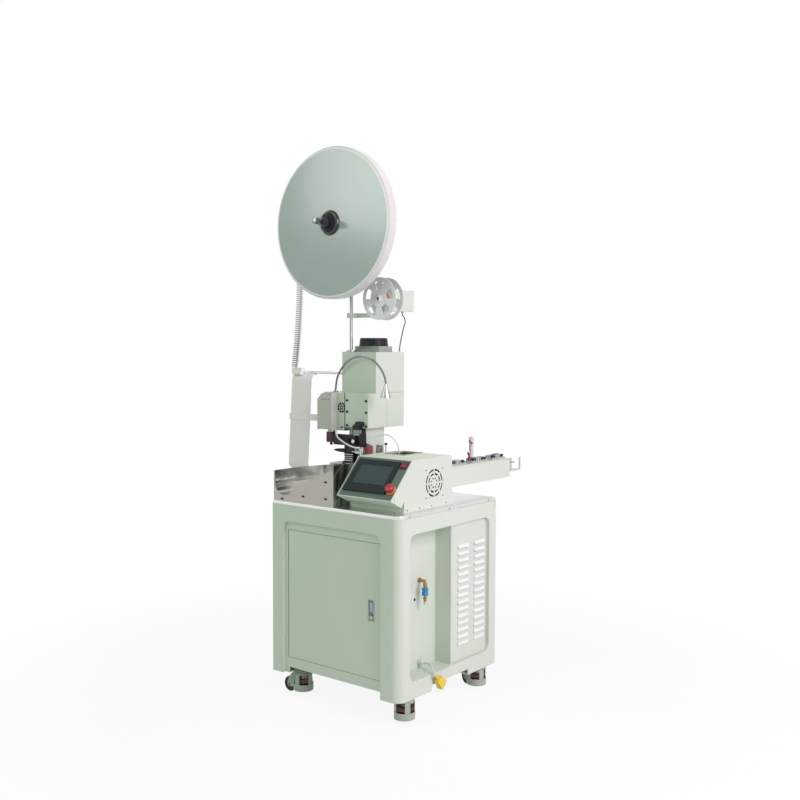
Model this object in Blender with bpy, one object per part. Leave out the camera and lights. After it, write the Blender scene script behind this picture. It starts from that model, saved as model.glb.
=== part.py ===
"""Automatic terminal crimping machine on a castor cabinet, modelled as separate pieces.

Metres, +Z up, +Y towards the back, +X to the right when facing the front door.
Places are worked out with the floor at zero and the cabinet's middle at x = 0 and y = 0.
The root empty then moves the whole machine so that its box stands on the origin.
"""
import math

import bmesh
import bpy
from mathutils import Matrix, Vector

# General values
GAP = 0.0003
SHEET = 0.0025
THIN_SHEET = 0.0015
ROUND_STEPS = 24

# Cabinet
CABINET_WIDTH = 0.650
CABINET_DEPTH = 0.635
CABINET_HEIGHT = 0.675
CORNER_RADIUS = 0.038
SQUARE_CORNER = 0.004
CASTOR_HEIGHT = 0.100
LEG_DROP = 0.023
LEG_REACH = 0.197
FOOT_PLATE = 0.004
FLOOR_PANEL = 0.004
LEFT_LEG_WIDTH = 0.080
RIGHT_LEG_WIDTH = 0.091
TABLE_THICKNESS = 0.012
TABLE_MARGIN = 0.0025

# Worked-out heights and faces of the cabinet
TABLE_BOTTOM = CASTOR_HEIGHT + CABINET_HEIGHT
TABLE_TOP = TABLE_BOTTOM + GAP + TABLE_THICKNESS
ON_TABLE = TABLE_TOP + GAP
FRONT_FACE = -CABINET_DEPTH / 2
SIDE_FACE = CABINET_WIDTH / 2
FLOOR_TOP = CASTOR_HEIGHT + LEG_DROP + FLOOR_PANEL

# Front recess and door
RECESS_LEFT = -0.268
RECESS_RIGHT = 0.234
RECESS_TOP_DROP = 0.064
RECESS_DEPTH = 0.015
RECESS_RADIUS = 0.028
DOOR_LEFT = -0.2505
DOOR_WIDTH = 0.4725
DOOR_HEIGHT = 0.510
DOOR_RISE = 0.0645
DOOR_CLEARANCE = 0.0015
DOOR_THICKNESS = 0.018
DOOR_FACE = FRONT_FACE + RECESS_DEPTH
DOOR_BOTTOM = CASTOR_HEIGHT + DOOR_RISE
DOOR_TOP = DOOR_BOTTOM + DOOR_HEIGHT
HINGE_INSET = 0.004
HINGE_PIN_RADIUS = 0.0022
HINGE_PIN_LENGTH = 0.009
PIN_CLEARANCE = 0.0003
LATCH_INSET = 0.044
LATCH_X = DOOR_LEFT + DOOR_WIDTH - LATCH_INSET
LATCH_HEIGHT = 0.082
LATCH_WIDTH = 0.030
LATCH_RISE = 0.321
LATCH_POCKET = 0.012
LATCH_RIM = 0.003
PADDLE_LENGTH = 0.050
PADDLE_THICKNESS = 0.003

# Right side recess, niche and louvred panel
SIDE_FRONT = -0.257
SIDE_BACK = 0.268
SIDE_BOTTOM = 0.065
SIDE_TOP_DROP = 0.062
SIDE_TOP = CABINET_HEIGHT - SIDE_TOP_DROP
SIDE_DEPTH = 0.015
SIDE_RADIUS = 0.030
NICHE_BACK = 0.021
NICHE_DEPTH = 0.089
PANEL_THICKNESS = 0.002
LOUVRE_FIRST = 0.045
LOUVRE_COLUMN_PITCH = 0.112
LOUVRE_LENGTH = 0.071
LOUVRE_HEIGHT = 0.014
LOUVRE_PITCH = 0.0275
LOUVRE_BOTTOM = 0.127
LOUVRE_TOP_MARGIN = 0.060
LOUVRE_ROWS = int((SIDE_TOP - LOUVRE_TOP_MARGIN - LOUVRE_BOTTOM) / LOUVRE_PITCH)
LOUVRE_PROUD = 0.006
LOUVRE_SKIN = 0.0012

# Mounting plate inside the cabinet; boxes are left, right, depth, bottom, top
ELECTRICS_BACK = 0.230
ELECTRICS_PLATE = (-0.220, 0.180)
ELECTRICS_TOP = TABLE_BOTTOM - 0.045
MODULE_COUNT = 3
MODULE_PITCH = 0.085
MODULE = (-0.200, 0.060, 0.130, ELECTRICS_TOP - 0.230, ELECTRICS_TOP - 0.050)
ELECTRICS_BOXES = ((-0.200, 0.160, 0.035, ELECTRICS_TOP - 0.300, ELECTRICS_TOP - 0.270),
                   (-0.200, 0.160, 0.035, FLOOR_TOP + 0.163, FLOOR_TOP + 0.193),
                   (-0.190, -0.030, 0.080, FLOOR_TOP + 0.213, FLOOR_TOP + 0.283),
                   (0.010, 0.140, 0.060, FLOOR_TOP + 0.213, FLOOR_TOP + 0.283),
                   (-0.180, 0.020, 0.110, FLOOR_TOP + 0.033, FLOOR_TOP + 0.143))

# Castors: each one's centre from the nearer side, from the nearer end, and the way that it trails
CASTOR_PLACES = (("castor_1", 0.095, 0.0795, 180.0), ("castor_2", 0.044, 0.0865, 146.0),
                 ("castor_3", 0.051, 0.0595, 157.0), ("castor_4", 0.085, 0.0675, 150.0))
CASTOR_CORNERS = ((-1, -1), (1, -1), (1, 1), (-1, 1))
CASTOR_PLATE = 0.068
WHEEL_RADIUS = 0.030
WHEEL_WIDTH = 0.022
WHEEL_OFFSET = 0.0665
AXLE_RADIUS = 0.004
CUP_RADIUS = 0.040
CUP_WALL = 0.003
CUP_BOTTOM = 0.0195
CUP_RIM_TOP = 0.046
PAD_RADIUS = 0.0355
PAD_HEIGHT = 0.012
THUMBWHEEL_RADIUS = 0.0355
SIDE_PLATE_TOP = 0.0695
STEM_RADIUS = 0.006

# Console
CONSOLE_LEFT = 0.023
CONSOLE_RIGHT = 0.285
CONSOLE_BACK = 0.060
CONSOLE_TOP = 0.192
CONSOLE_ROOF = ON_TABLE + CONSOLE_TOP
CONSOLE_FRONT = -0.244
SLANT_FOOT_Y = -0.322
SLANT_FOOT_RISE = 0.053
SLANT_HEAD_Y = -0.193
NOSE_Y = -0.258
NOSE_RISE = 0.022
NOSE_LIP = 0.021
BEZEL_RIM = 0.004
BEZEL_RECESS = 0.002
SCREEN_LEFT = 0.0156
SCREEN_RISE = 0.028
SCREEN_WIDTH = 0.2004
SCREEN_HEIGHT = 0.1465
SCREEN_PROUD = 0.004
GLASS_LEFT = 0.026
GLASS_RISE = 0.036
GLASS_WIDTH = 0.154
GLASS_HEIGHT = 0.086
SWITCH_X = 0.236
SWITCH_RISE = 0.163
SWITCH_SIZE = 0.030
SWITCH_FRAME = 0.0025
SWITCH_TILT = 8.0
STOP_X = 0.237
STOP_RISE = 0.048
STOP_RADIUS = 0.0168
STOP_COLLAR_RADIUS = 0.0205
FAN_Y = -0.057
FAN_RISE = 0.094
FAN_SIZE = 0.118
FAN_DEPTH = 0.025
FAN_BORE = 0.0565
BLADE_COUNT = 7
GRILLE_RINGS = ((0.0145, 0.0210), (0.0310, 0.0380), (0.0470, 0.0540))
GRILLE_SLOTS = 8
GRILLE_BRIDGE = 0.0065
HATCH = (0.064, 0.159, -0.078, 0.030)
HATCH_RIM = 0.004

# Tray
TRAY_LEFT = -0.324
TRAY_RIGHT = -0.008
TRAY_FRONT = -0.309
TRAY_BACK = -0.1315
TRAY_CORNER_X = -0.266
TRAY_CORNER_RISE = 0.074
TRAY_RADIUS = 0.058
TRAY_KNEE_ANGLE = -13.0
TRAY_SIDE_RISE = 0.118
TRAY_RAMP_RISE = 0.140
TRAY_PLATE_RISE = 0.155
TRAY_PLATE = 0.002
GUARD_RISE = 0.161
GUARD_BACK = -0.1290

# Press: its heights rise from the table through the bed and the head
BED = (-0.190, -0.050, -0.130, 0.075, 0.143)
BED_TOP = ON_TABLE + BED[4]
COLUMN = (-0.160, -0.0675, -0.042, 0.075)
HEAD_LEFT = -0.162
HEAD_RIGHT = -0.0415
HEAD_FRONT = -0.0567
HEAD_BACK = 0.058
HEAD_BOTTOM = BED_TOP + 0.1404
HEAD_TOP = HEAD_BOTTOM + 0.140
FACE_PLATE = 0.006
COVER_BACK = 0.1726
COVER_BOTTOM = HEAD_BOTTOM - 0.001
COVER_TOP = HEAD_TOP - 0.0005
RAM_LEFT = -0.128
RAM_RIGHT = -0.072
RAM_BACK = -0.018
RAM_BOTTOM = HEAD_BOTTOM - 0.026
RAM_TOP = HEAD_BOTTOM + 0.094
RAM_TRAVEL = 0.030
TONGUE = (-0.112, -0.077)
TONGUE_FRONT = -0.076
TONGUE_TOP = HEAD_BOTTOM + 0.011
HOUSING_LEFT = -0.2257
HOUSING_FRONT = -0.0116
HOUSING_BACK = 0.1726
HOUSING_TOP = HEAD_TOP + 0.166
HOUSING_WALL = 0.003
GROMMET = (-0.050, 0.150)
MOTOR_BASE = (-0.198, -0.066, 0.036, 0.124)
MOTOR_BASE_HEIGHT = 0.023
MOTOR_CENTRE = (-0.132, 0.081)
MOTOR_RADIUS = 0.0600
MOTOR_HEIGHT = 0.034
BOLT_RADIUS = 0.0045
BOLT_HEIGHT = 0.0035

# Wire box on the press
BOX_LEFT = -0.285
BOX_RIGHT = -0.163
BOX_BACK = 0.050
BOX_FRONT = -0.060
BOX_BOTTOM = HEAD_BOTTOM - 0.015
BOX_COVER = (-0.287, -0.209, -0.095)
BOX_COVER_TOP = HEAD_TOP - 0.004
VENT_CENTRE = (-0.184, HEAD_BOTTOM + 0.079)
VENT_RINGS = ((0.0045, 0.0095), (0.0138, 0.0203))

# Applicator: its heights are taken from the bed
PLATE_TOP_RISE = 0.010
GUIDE = (-0.118, -0.070, -0.105, -0.0575)
GUIDE_BOTTOM = BED_TOP + 0.0444
GUIDE_TOP = BED_TOP + 0.0814
APP_RAM = (-0.108, -0.082, -0.092, -0.064)
APP_RAM_BOTTOM = BED_TOP + 0.0594
ANVIL_RISE = 0.006
CRIMP_HEIGHT = 0.0012
PUNCH_BOTTOM = BED_TOP + GAP + PLATE_TOP_RISE + ANVIL_RISE + RAM_TRAVEL + CRIMP_HEIGHT
FINGER_PIVOT = (-0.133, BED_TOP + 0.0494)
FINGER_LENGTH = 0.060
FINGER_FRONT = -0.100
FINGER_BACK = -0.087
BASE_BLOCK = (-0.120, -0.052, -0.128, -0.045)
BACK_BLOCK = (-0.122, -0.1085, -0.082, -0.048, BED_TOP + 0.0704)
SIDE_BLOCK = (-0.076, -0.062, -0.095, -0.060, BED_TOP + 0.0594)
SLIDE_BLOCK = (-0.146, -0.120, -0.086, -0.060, BED_TOP + 0.0354, BED_TOP + 0.0794)
FEED_CYLINDER = (-0.206, -0.114, -0.085, -0.058, BED_TOP + 0.0694, BED_TOP + 0.1114)
END_BLOCK = (-0.246, -0.211, -0.087, -0.055, BED_TOP + 0.0774, BED_TOP + 0.1194)
END_NECK = (-0.212, -0.200, -0.083, -0.060, BED_TOP + 0.0814, BED_TOP + 0.1054)
CLAMP_BLOCK = (-0.072, -0.042, -0.095, -0.0580, BED_TOP + 0.0544, BED_TOP + 0.0804)
COUNTER_BLOCK = (-0.0700, -0.0520, -0.088, -0.0595, BED_TOP + 0.0794, BED_TOP + 0.1214)
END_PIN = (-0.230, -0.072)
DIAL_CENTRE = (-0.123, BED_TOP + 0.0904)
ANVIL_CENTRE = (-0.095, -0.078)
PUNCH = (-0.1005, -0.0895, -0.083, -0.073)
CUTTER = (-0.1125, -0.068, -0.126, -0.1055, BED_TOP + 0.0434)
CUTTER_GROOVES = (BED_TOP + 0.0184, BED_TOP + 0.0264, BED_TOP + 0.0344)
CUTTER_SCREWS_X = (-0.104, -0.088)
CUTTER_SCREWS_Z = (BED_TOP + 0.0244, BED_TOP + 0.0324)

# Feed unit and transfer arm
FEED = (-0.045, 0.018, -0.125, 0.056)
FEED_TOP = ON_TABLE + 0.1774
ARM_PIVOT = (-0.034, -0.110)
ARM_RADIUS = 0.008
ARM_REACH = 0.030
NOZZLE_REACH = 0.050
MUFFLER_CENTRE = (-0.004, -0.034)
MUFFLER_RADIUS = 0.0120
MUFFLER_TOP = FEED_TOP + 0.040
KNOB_CENTRE = (0.004, -0.004)
KNOB_TOP = FEED_TOP + 0.048
VALVE_BLOCK = (-0.0405, -0.0215, -0.082, -0.055)
VALVE_TOP = FEED_TOP + 0.039

# Reel pole, reel and take-up
LAMP_FOOT = (-0.253, -0.020)
NECK_RADIUS = 0.0035
NECK_BENDS = ((-0.241, -0.023, 0.059), (-0.210, -0.028, 0.100), (-0.164, -0.033, 0.134),
              (-0.098, -0.042, 0.149), (-0.033, -0.052, 0.138), (0.018, -0.060, 0.105),
              (0.046, -0.065, 0.069))
LAMP_PLACE = (0.052, -0.066)
LAMP_TOP = HEAD_TOP + 0.0432
POLE_X = -0.188
POLE_Y = 0.004
POLE_RADIUS = 0.0065
REEL_Z = HOUSING_TOP + 0.515
REEL_FRONT = -0.125
REEL_RADIUS = 0.303
REEL_RIM_DEPTH = 0.045
REEL_WALL = 0.004
COIL_RADIUS = 0.217
COIL_BACK = -0.055
REEL_BORE = 0.0083
AXLE_END = -0.220
TAKEUP_X = -0.012
TAKEUP_Z = HOUSING_TOP + 0.213
TAKEUP_RADIUS = 0.085
TAKEUP_FRONT = -0.030
TAKEUP_BACK = 0.020
TAKEUP_CORE = 0.022
TAKEUP_SPINDLE = 0.005
SPOOL_WINDOWS = 5
WINDOW_RING = (0.036, 0.070)
WINDOW_HALF_ANGLE = 19.0
CLAMP_BOTTOM = HOUSING_TOP + 0.139
DRIVE_NIPPLE = (-0.036, 0.150)
DRIVE = (-0.060, -0.002, 0.034, 0.185, HOUSING_TOP + 0.166, HOUSING_TOP + 0.252)

# Guide plate
GUIDE_PLATE_LEFT = -0.449
GUIDE_PLATE_WIDTH = 0.112
GUIDE_PLATE_FRONT = -0.075
GUIDE_PLATE_TOP = HEAD_TOP + 0.073
GUIDE_CAP_TOP = GUIDE_PLATE_TOP + 0.0255
GUIDE_PLATE_HEIGHT = 0.408
GUIDE_PLATE_BOTTOM = GUIDE_PLATE_TOP - GUIDE_PLATE_HEIGHT
GUIDE_PLATE_LEAN = 0.058
STRIP_WIDTH = 0.012
STRIP_THICKNESS = 0.0012
STRIP_DROP = ((0.0, 0.4505), (0.001, 0.3305), (-0.004, 0.2305), (-0.011, 0.1405), (-0.020, 0.0705),
              (-0.029, 0.0008))

# Straightener arm
BEAM = (0.206, 0.262, CONSOLE_BACK + 2 * GAP, 0.517)
BEAM_BOTTOM = ON_TABLE + 0.0584
BEAM_HEIGHT = 0.074
BEAM_TOP = BEAM_BOTTOM + BEAM_HEIGHT
BEAM_WALL = 0.003
FLANGE = 0.004
FLANGE_MARGIN = 0.012
RAIL_HEIGHT = 0.006
BRACKET_LENGTH = 0.088
BRACKET_DROP = 0.052
PULLEY_BEHIND = 0.060
PULLEY_DROP = 0.018
PULLEY_RADIUS = 0.009
PULLEY_BORE = 0.0034
BANKS = ((0.040, 5), (0.185, 6), (0.330, 5))
BANK_PLATE = 0.007
ROLLER_RADIUS = 0.0065
ROLLER_PITCH = 0.0180
ROLLER_INSET = 0.012
ROLLER_TOP = 0.018
POST_RADIUS = 0.010
POST_TOP = 0.108
LEVERS = (0.032, 0.172)
LEVER_LENGTH = 0.030
LEVER_AXIS = 0.022
LEVER_PIN = 0.0022
CAM_RADIUS = 0.0060

# Plastic tubes on the press
WIRE_TUBE_RADIUS = 0.0035
AIR_TUBE_RADIUS = 0.0026

# Air inlet and power cord
AIR_REACH = 0.036
AIR_X = SIDE_FACE - NICHE_DEPTH + AIR_REACH
AIR_Y = -0.0945
AIR_TOP = 0.505
ELBOW_PIPE = 0.0065
ELBOW_NUT = 0.0105
COUPLER_RADIUS = 0.0060
COUPLER_PROFILE = ((0.0, -0.089), (0.0042, -0.089), (0.0042, -0.077), (0.0058, -0.075), (0.0058, -0.067),
                   (0.0078, -0.066), (0.0078, -0.062), (COUPLER_RADIUS, -0.061), (COUPLER_RADIUS, -0.017),
                   (0.0085, -0.016), (0.0085, -0.011), (0.0, -0.011))
SLIDE_BOTTOM = -0.0515
SLIDE_RADIUS = 0.0130
SLIDE_WAIST = 0.0105
SLIDE_PROFILE = ((SLIDE_RADIUS, 0.0), (SLIDE_RADIUS, 0.0075), (SLIDE_WAIST, 0.0115), (SLIDE_WAIST, 0.0165),
                 (SLIDE_RADIUS, 0.0205), (SLIDE_RADIUS, 0.0280))
CORD_RADIUS = 0.0034
PLUG_LEAN = 0.685
GLAND = (-0.085, 0.187)

AXIS_ORDER = {"x": "yzx", "y": "xzy", "z": "xyz"}
PIVOTS = {}
CORD_PIECES = ("power_cord", "power_plug")


def clear_scene():
    """Removes whatever the scene holds."""
    for item in list(bpy.data.objects):
        bpy.data.objects.remove(item, do_unlink=True)


def finish(bm):
    """A mesh of the bmesh, with its faces pointing out."""
    bmesh.ops.remove_doubles(bm, verts=bm.verts, dist=1e-7)
    bmesh.ops.recalc_face_normals(bm, faces=bm.faces)
    mesh = bpy.data.meshes.new("shape")
    bm.to_mesh(mesh)
    bm.free()
    return mesh


def prism(outline, axis, low, high):
    """A flat outline in two axes, pushed along the third from low to high."""
    bm = bmesh.new()
    first, second, along = ("xyz".index(name) for name in AXIS_ORDER[axis])
    rings = []
    for depth in (low, high):
        ring = []
        for across, up in outline:
            place = [0.0, 0.0, 0.0]
            place[first] = across
            place[second] = up
            place[along] = depth
            ring.append(bm.verts.new(place))
        rings.append(ring)
        bm.faces.new(ring)
    count = len(outline)
    for i in range(count):
        after = (i + 1) % count
        bm.faces.new((rings[0][i], rings[0][after], rings[1][after], rings[1][i]))
    return finish(bm)


def box(x0, x1, y0, y1, z0, z1):
    """A block between two corners."""
    return prism([(x0, y0), (x1, y0), (x1, y1), (x0, y1)], "z", z0, z1)


def arc(centre, radius, start, end, steps):
    """Points along a round stretch, in degrees from the first axis."""
    points = []
    for i in range(steps + 1):
        angle = math.radians(start + (end - start) * i / steps)
        points.append((centre[0] + radius * math.cos(angle), centre[1] + radius * math.sin(angle)))
    return points


def rounded(a0, a1, b0, b1, radii, steps=6):
    """A rectangle with round corners: radii start at the low corner and run anticlockwise."""
    if not isinstance(radii, tuple):
        radii = (radii,) * 4
    corners = ((a0, b0, 1, 1, 180), (a1, b0, -1, 1, 270), (a1, b1, -1, -1, 0), (a0, b1, 1, -1, 90))
    points = []
    for (a, b, side, up, start), radius in zip(corners, radii):
        if radius <= 0:
            points.append((a, b))
        else:
            middle = (a + side * radius, b + up * radius)
            points.extend(arc(middle, radius, start, start + 90, steps))
    return points


def turned(profile, axis, centre, steps=ROUND_STEPS, start=0.0):
    """A closed profile of (radius, place along the axis) turned about an axis."""
    bm = bmesh.new()
    first, second, along = ("xyz".index(name) for name in AXIS_ORDER[axis])
    rings = []
    for radius, offset in profile:
        ring = []
        for i in range(1 if radius < 1e-7 else steps):
            angle = math.radians(start) + math.tau * i / steps
            place = [0.0, 0.0, 0.0]
            place[first] = centre[0] + radius * math.cos(angle)
            place[second] = centre[1] + radius * math.sin(angle)
            place[along] = offset
            ring.append(bm.verts.new(place))
        rings.append(ring)
    pairs = list(zip(rings, rings[1:]))
    if min(radius for radius, _ in profile) > 1e-7:
        pairs.append((rings[-1], rings[0]))
    for one, two in pairs:
        for i in range(steps):
            after = (i + 1) % steps
            corners = (one[i % len(one)], one[after % len(one)], two[after % len(two)], two[i % len(two)])
            unique = list(dict.fromkeys(corners))
            if len(unique) > 2:
                bm.faces.new(unique)
    return finish(bm)


def disc(centre, radius, axis, low, high, steps=ROUND_STEPS, start=0.0):
    """A round bar along an axis."""
    first, second = centre
    outline = arc((first, second), radius, start, start + 360.0 - 360.0 / steps, steps - 1)
    return prism(outline, axis, low, high)


def rod(start, end, radius, steps=12, end_radius=None):
    """A round bar or a cone between two points."""
    start = Vector(start)
    end = Vector(end)
    span = end - start
    turn = span.to_track_quat("Z", "Y").to_matrix().to_4x4()
    place = Matrix.Translation((start + end) / 2) @ turn
    bm = bmesh.new()
    far = radius if end_radius is None else end_radius
    bmesh.ops.create_cone(bm, cap_ends=True, segments=steps, radius1=radius, radius2=far,
                          depth=span.length, matrix=place)
    return finish(bm)


def smooth_path(points, step):
    """Points read from a smooth curve through the given ones, about one step apart."""
    ends = [Vector(points[0]) * 2 - Vector(points[1]), Vector(points[-1]) * 2 - Vector(points[-2])]
    path = [ends[0]] + [Vector(p) for p in points] + [ends[1]]
    result = []
    for i in range(1, len(path) - 2):
        before, one, two, after = path[i - 1:i + 3]
        count = max(1, round((two - one).length / step))
        for j in range(count):
            t = j / count
            result.append(0.5 * (2 * one + (two - before) * t
                                 + (2 * before - 5 * one + 4 * two - after) * t * t
                                 + (3 * one - before - 3 * two + after) * t ** 3))
    result.append(path[-2])
    return result


def ribbon(path, thickness):
    """The outline of a bent sheet: a path and the same path moved sideways by the thickness."""
    points = [Vector((a, b)) for a, b in path]
    sides = []
    for i, point in enumerate(points):
        before = points[max(i - 1, 0)]
        after = points[min(i + 1, len(points) - 1)]
        into = (point - before) if i else (after - point)
        out = (after - point) if i < len(points) - 1 else into
        one = Vector((-into.y, into.x)).normalized()
        two = Vector((-out.y, out.x)).normalized()
        mitre = (one + two).normalized()
        sides.append(point + mitre * thickness / max(mitre.dot(one), 0.5))
    return [tuple(p) for p in points] + [tuple(p) for p in reversed(sides)]


def inset(outline, distance):
    """A closed outline, given anticlockwise, moved inwards by one distance."""
    count = len(outline)
    result = []
    for i in range(count):
        before = Vector(outline[i - 1])
        point = Vector(outline[i])
        after = Vector(outline[(i + 1) % count])
        into = (point - before).normalized()
        out = (after - point).normalized()
        one = Vector((-into.y, into.x))
        two = Vector((-out.y, out.x))
        mitre = (one + two).normalized()
        result.append(tuple(point + mitre * distance / max(mitre.dot(one), 0.3)))
    return result


def ring_sector(centre, inner, outer, start, end, steps=3):
    """The outline of a stretch of a flat ring."""
    return arc(centre, outer, start, end, steps) + arc(centre, inner, end, start, steps)


def moved(mesh, matrix):
    """The same mesh in another place."""
    mesh.transform(matrix)
    return mesh


def about(point, angle, axis):
    """A turn in degrees about an axis through a point."""
    place = Matrix.Translation(Vector(point))
    return place @ Matrix.Rotation(math.radians(angle), 4, axis) @ place.inverted()


def boolean(item, meshes, operation):
    """Joins an object with other meshes, or cuts it with them, by one exact Boolean."""
    tools = bpy.data.collections.new("tools")
    bpy.context.scene.collection.children.link(tools)
    for mesh in meshes:
        tools.objects.link(bpy.data.objects.new("tool", mesh))
    modifier = item.modifiers.new(operation, "BOOLEAN")
    modifier.operation = operation
    modifier.operand_type = "COLLECTION"
    modifier.collection = tools
    modifier.solver = "EXACT"
    graph = bpy.context.evaluated_depsgraph_get()
    result = bpy.data.meshes.new_from_object(item.evaluated_get(graph))
    item.modifiers.clear()
    item.data = result
    for tool in list(tools.objects):
        bpy.data.objects.remove(tool, do_unlink=True)
    bpy.data.collections.remove(tools)


def shape(adds, cuts=()):
    """One mesh: the first shapes joined, less the second ones."""
    item = bpy.data.objects.new("shape", adds[0])
    bpy.context.scene.collection.objects.link(item)
    if len(adds) > 1:
        boolean(item, adds[1:], "UNION")
    if cuts:
        boolean(item, cuts, "DIFFERENCE")
    mesh = item.data
    bpy.data.objects.remove(item, do_unlink=True)
    return mesh


def material(name, colour, roughness, metallic=0.0):
    """A plain Principled material, made once for each name."""
    found = bpy.data.materials.get(name)
    if found:
        return found
    made = bpy.data.materials.new(name)
    made.use_nodes = True
    shader = made.node_tree.nodes["Principled BSDF"]
    shader.inputs["Base Color"].default_value = (*colour, 1.0)
    shader.inputs["Roughness"].default_value = roughness
    shader.inputs["Metallic"].default_value = metallic
    return made


def mint():
    return material("mint_paint", (0.72, 0.76, 0.70), 0.45)


def steel():
    return material("brushed_steel", (0.62, 0.62, 0.60), 0.35, 1.0)


def black():
    return material("black_metal", (0.03, 0.03, 0.035), 0.4)


def dark_plastic():
    return material("dark_plastic", (0.05, 0.055, 0.06), 0.5)


def grey():
    return material("grey_paint", (0.55, 0.56, 0.53), 0.5)


def red():
    return material("red_plastic", (0.55, 0.03, 0.05), 0.4)


def pivot(name, place, parent="root"):
    """An empty on a joint's axis, carried by another one."""
    empty = bpy.data.objects.new(name + "_pivot", None)
    empty.empty_display_size = 0.02
    bpy.context.scene.collection.objects.link(empty)
    PIVOTS[name] = (empty, Vector(place))
    if name != "root":
        carrier, origin = PIVOTS[parent]
        empty.parent = carrier
        empty.location = Vector(place) - origin
    return empty


def add(name, mesh, finish_material, body="root", smooth=40.0):
    """One named sub-part, carried by the empty of its body."""
    empty, origin = PIVOTS[body]
    mesh.transform(Matrix.Translation(-origin))
    mesh.name = name
    mesh.materials.clear()
    mesh.materials.append(finish_material)
    mesh.shade_smooth()
    mesh.set_sharp_from_angle(angle=math.radians(smooth))
    item = bpy.data.objects.new(name, mesh)
    item.parent = empty
    bpy.context.scene.collection.objects.link(item)
    return item


def add_cord(name, points, radius, resolution, finish_material):
    """A cord's tube along a smooth curve through its points."""
    curve = bpy.data.curves.new(name, "CURVE")
    curve.dimensions = "3D"
    curve.bevel_depth = radius
    curve.bevel_resolution = resolution
    curve.use_fill_caps = True
    path = smooth_path(points, max(radius * 5, 0.012))
    spline = curve.splines.new("POLY")
    spline.points.add(len(path) - 1)
    for point, place in zip(spline.points, path):
        point.co = (*place, 1.0)
    curve.materials.append(finish_material)
    item = bpy.data.objects.new(name, curve)
    item.parent = PIVOTS["root"][0]
    bpy.context.scene.collection.objects.link(item)
    return item


def corner_radii(shrink):
    """The cabinet's corner radii: only the one between door and console side is large."""
    small = SQUARE_CORNER - shrink
    return (small, CORNER_RADIUS - shrink, small, small)


def plan_outline(shrink):
    """The cabinet's outline seen from above, moved inwards by shrink."""
    half_width = CABINET_WIDTH / 2 - shrink
    half_depth = CABINET_DEPTH / 2 - shrink
    return rounded(-half_width, half_width, -half_depth, half_depth, corner_radii(shrink), 6)


def front_recess(grow):
    """The shallow field round the door, made larger by grow."""
    top = TABLE_BOTTOM - RECESS_TOP_DROP + grow
    outline = rounded(RECESS_LEFT - grow, RECESS_RIGHT + grow, CASTOR_HEIGHT - 0.01, top,
                      (0, 0, RECESS_RADIUS + grow, RECESS_RADIUS + grow))
    return prism(outline, "y", FRONT_FACE - 0.01, DOOR_FACE + grow)


def side_recess(grow):
    """The shallow field on the right side, with room for the louvred panel on its floor."""
    outline = rounded(SIDE_FRONT - grow, SIDE_BACK + grow, CASTOR_HEIGHT + SIDE_BOTTOM - grow,
                      CASTOR_HEIGHT + SIDE_TOP + grow, SIDE_RADIUS + grow)
    floor = SIDE_FACE - SIDE_DEPTH - PANEL_THICKNESS - GAP - grow
    return prism(outline, "x", floor, SIDE_FACE + 0.01)


def niche(grow):
    """The deep niche in front of the louvred panel, where the air inlet hangs."""
    outline = rounded(SIDE_FRONT - grow, NICHE_BACK + grow, CASTOR_HEIGHT + SIDE_BOTTOM - grow,
                      CASTOR_HEIGHT + SIDE_TOP + grow, (SIDE_RADIUS + grow, 0, 0, SIDE_RADIUS + grow))
    return prism(outline, "x", SIDE_FACE - NICHE_DEPTH - grow, SIDE_FACE + 0.01)


def castor_places():
    """The four castor centres, with the way that each wheel trails."""
    places = []
    for (name, from_side, from_end, trail), (side, end) in zip(CASTOR_PLACES, CASTOR_CORNERS):
        places.append((name, side * (SIDE_FACE - from_side), end * (CABINET_DEPTH / 2 - from_end), trail))
    return places


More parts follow.
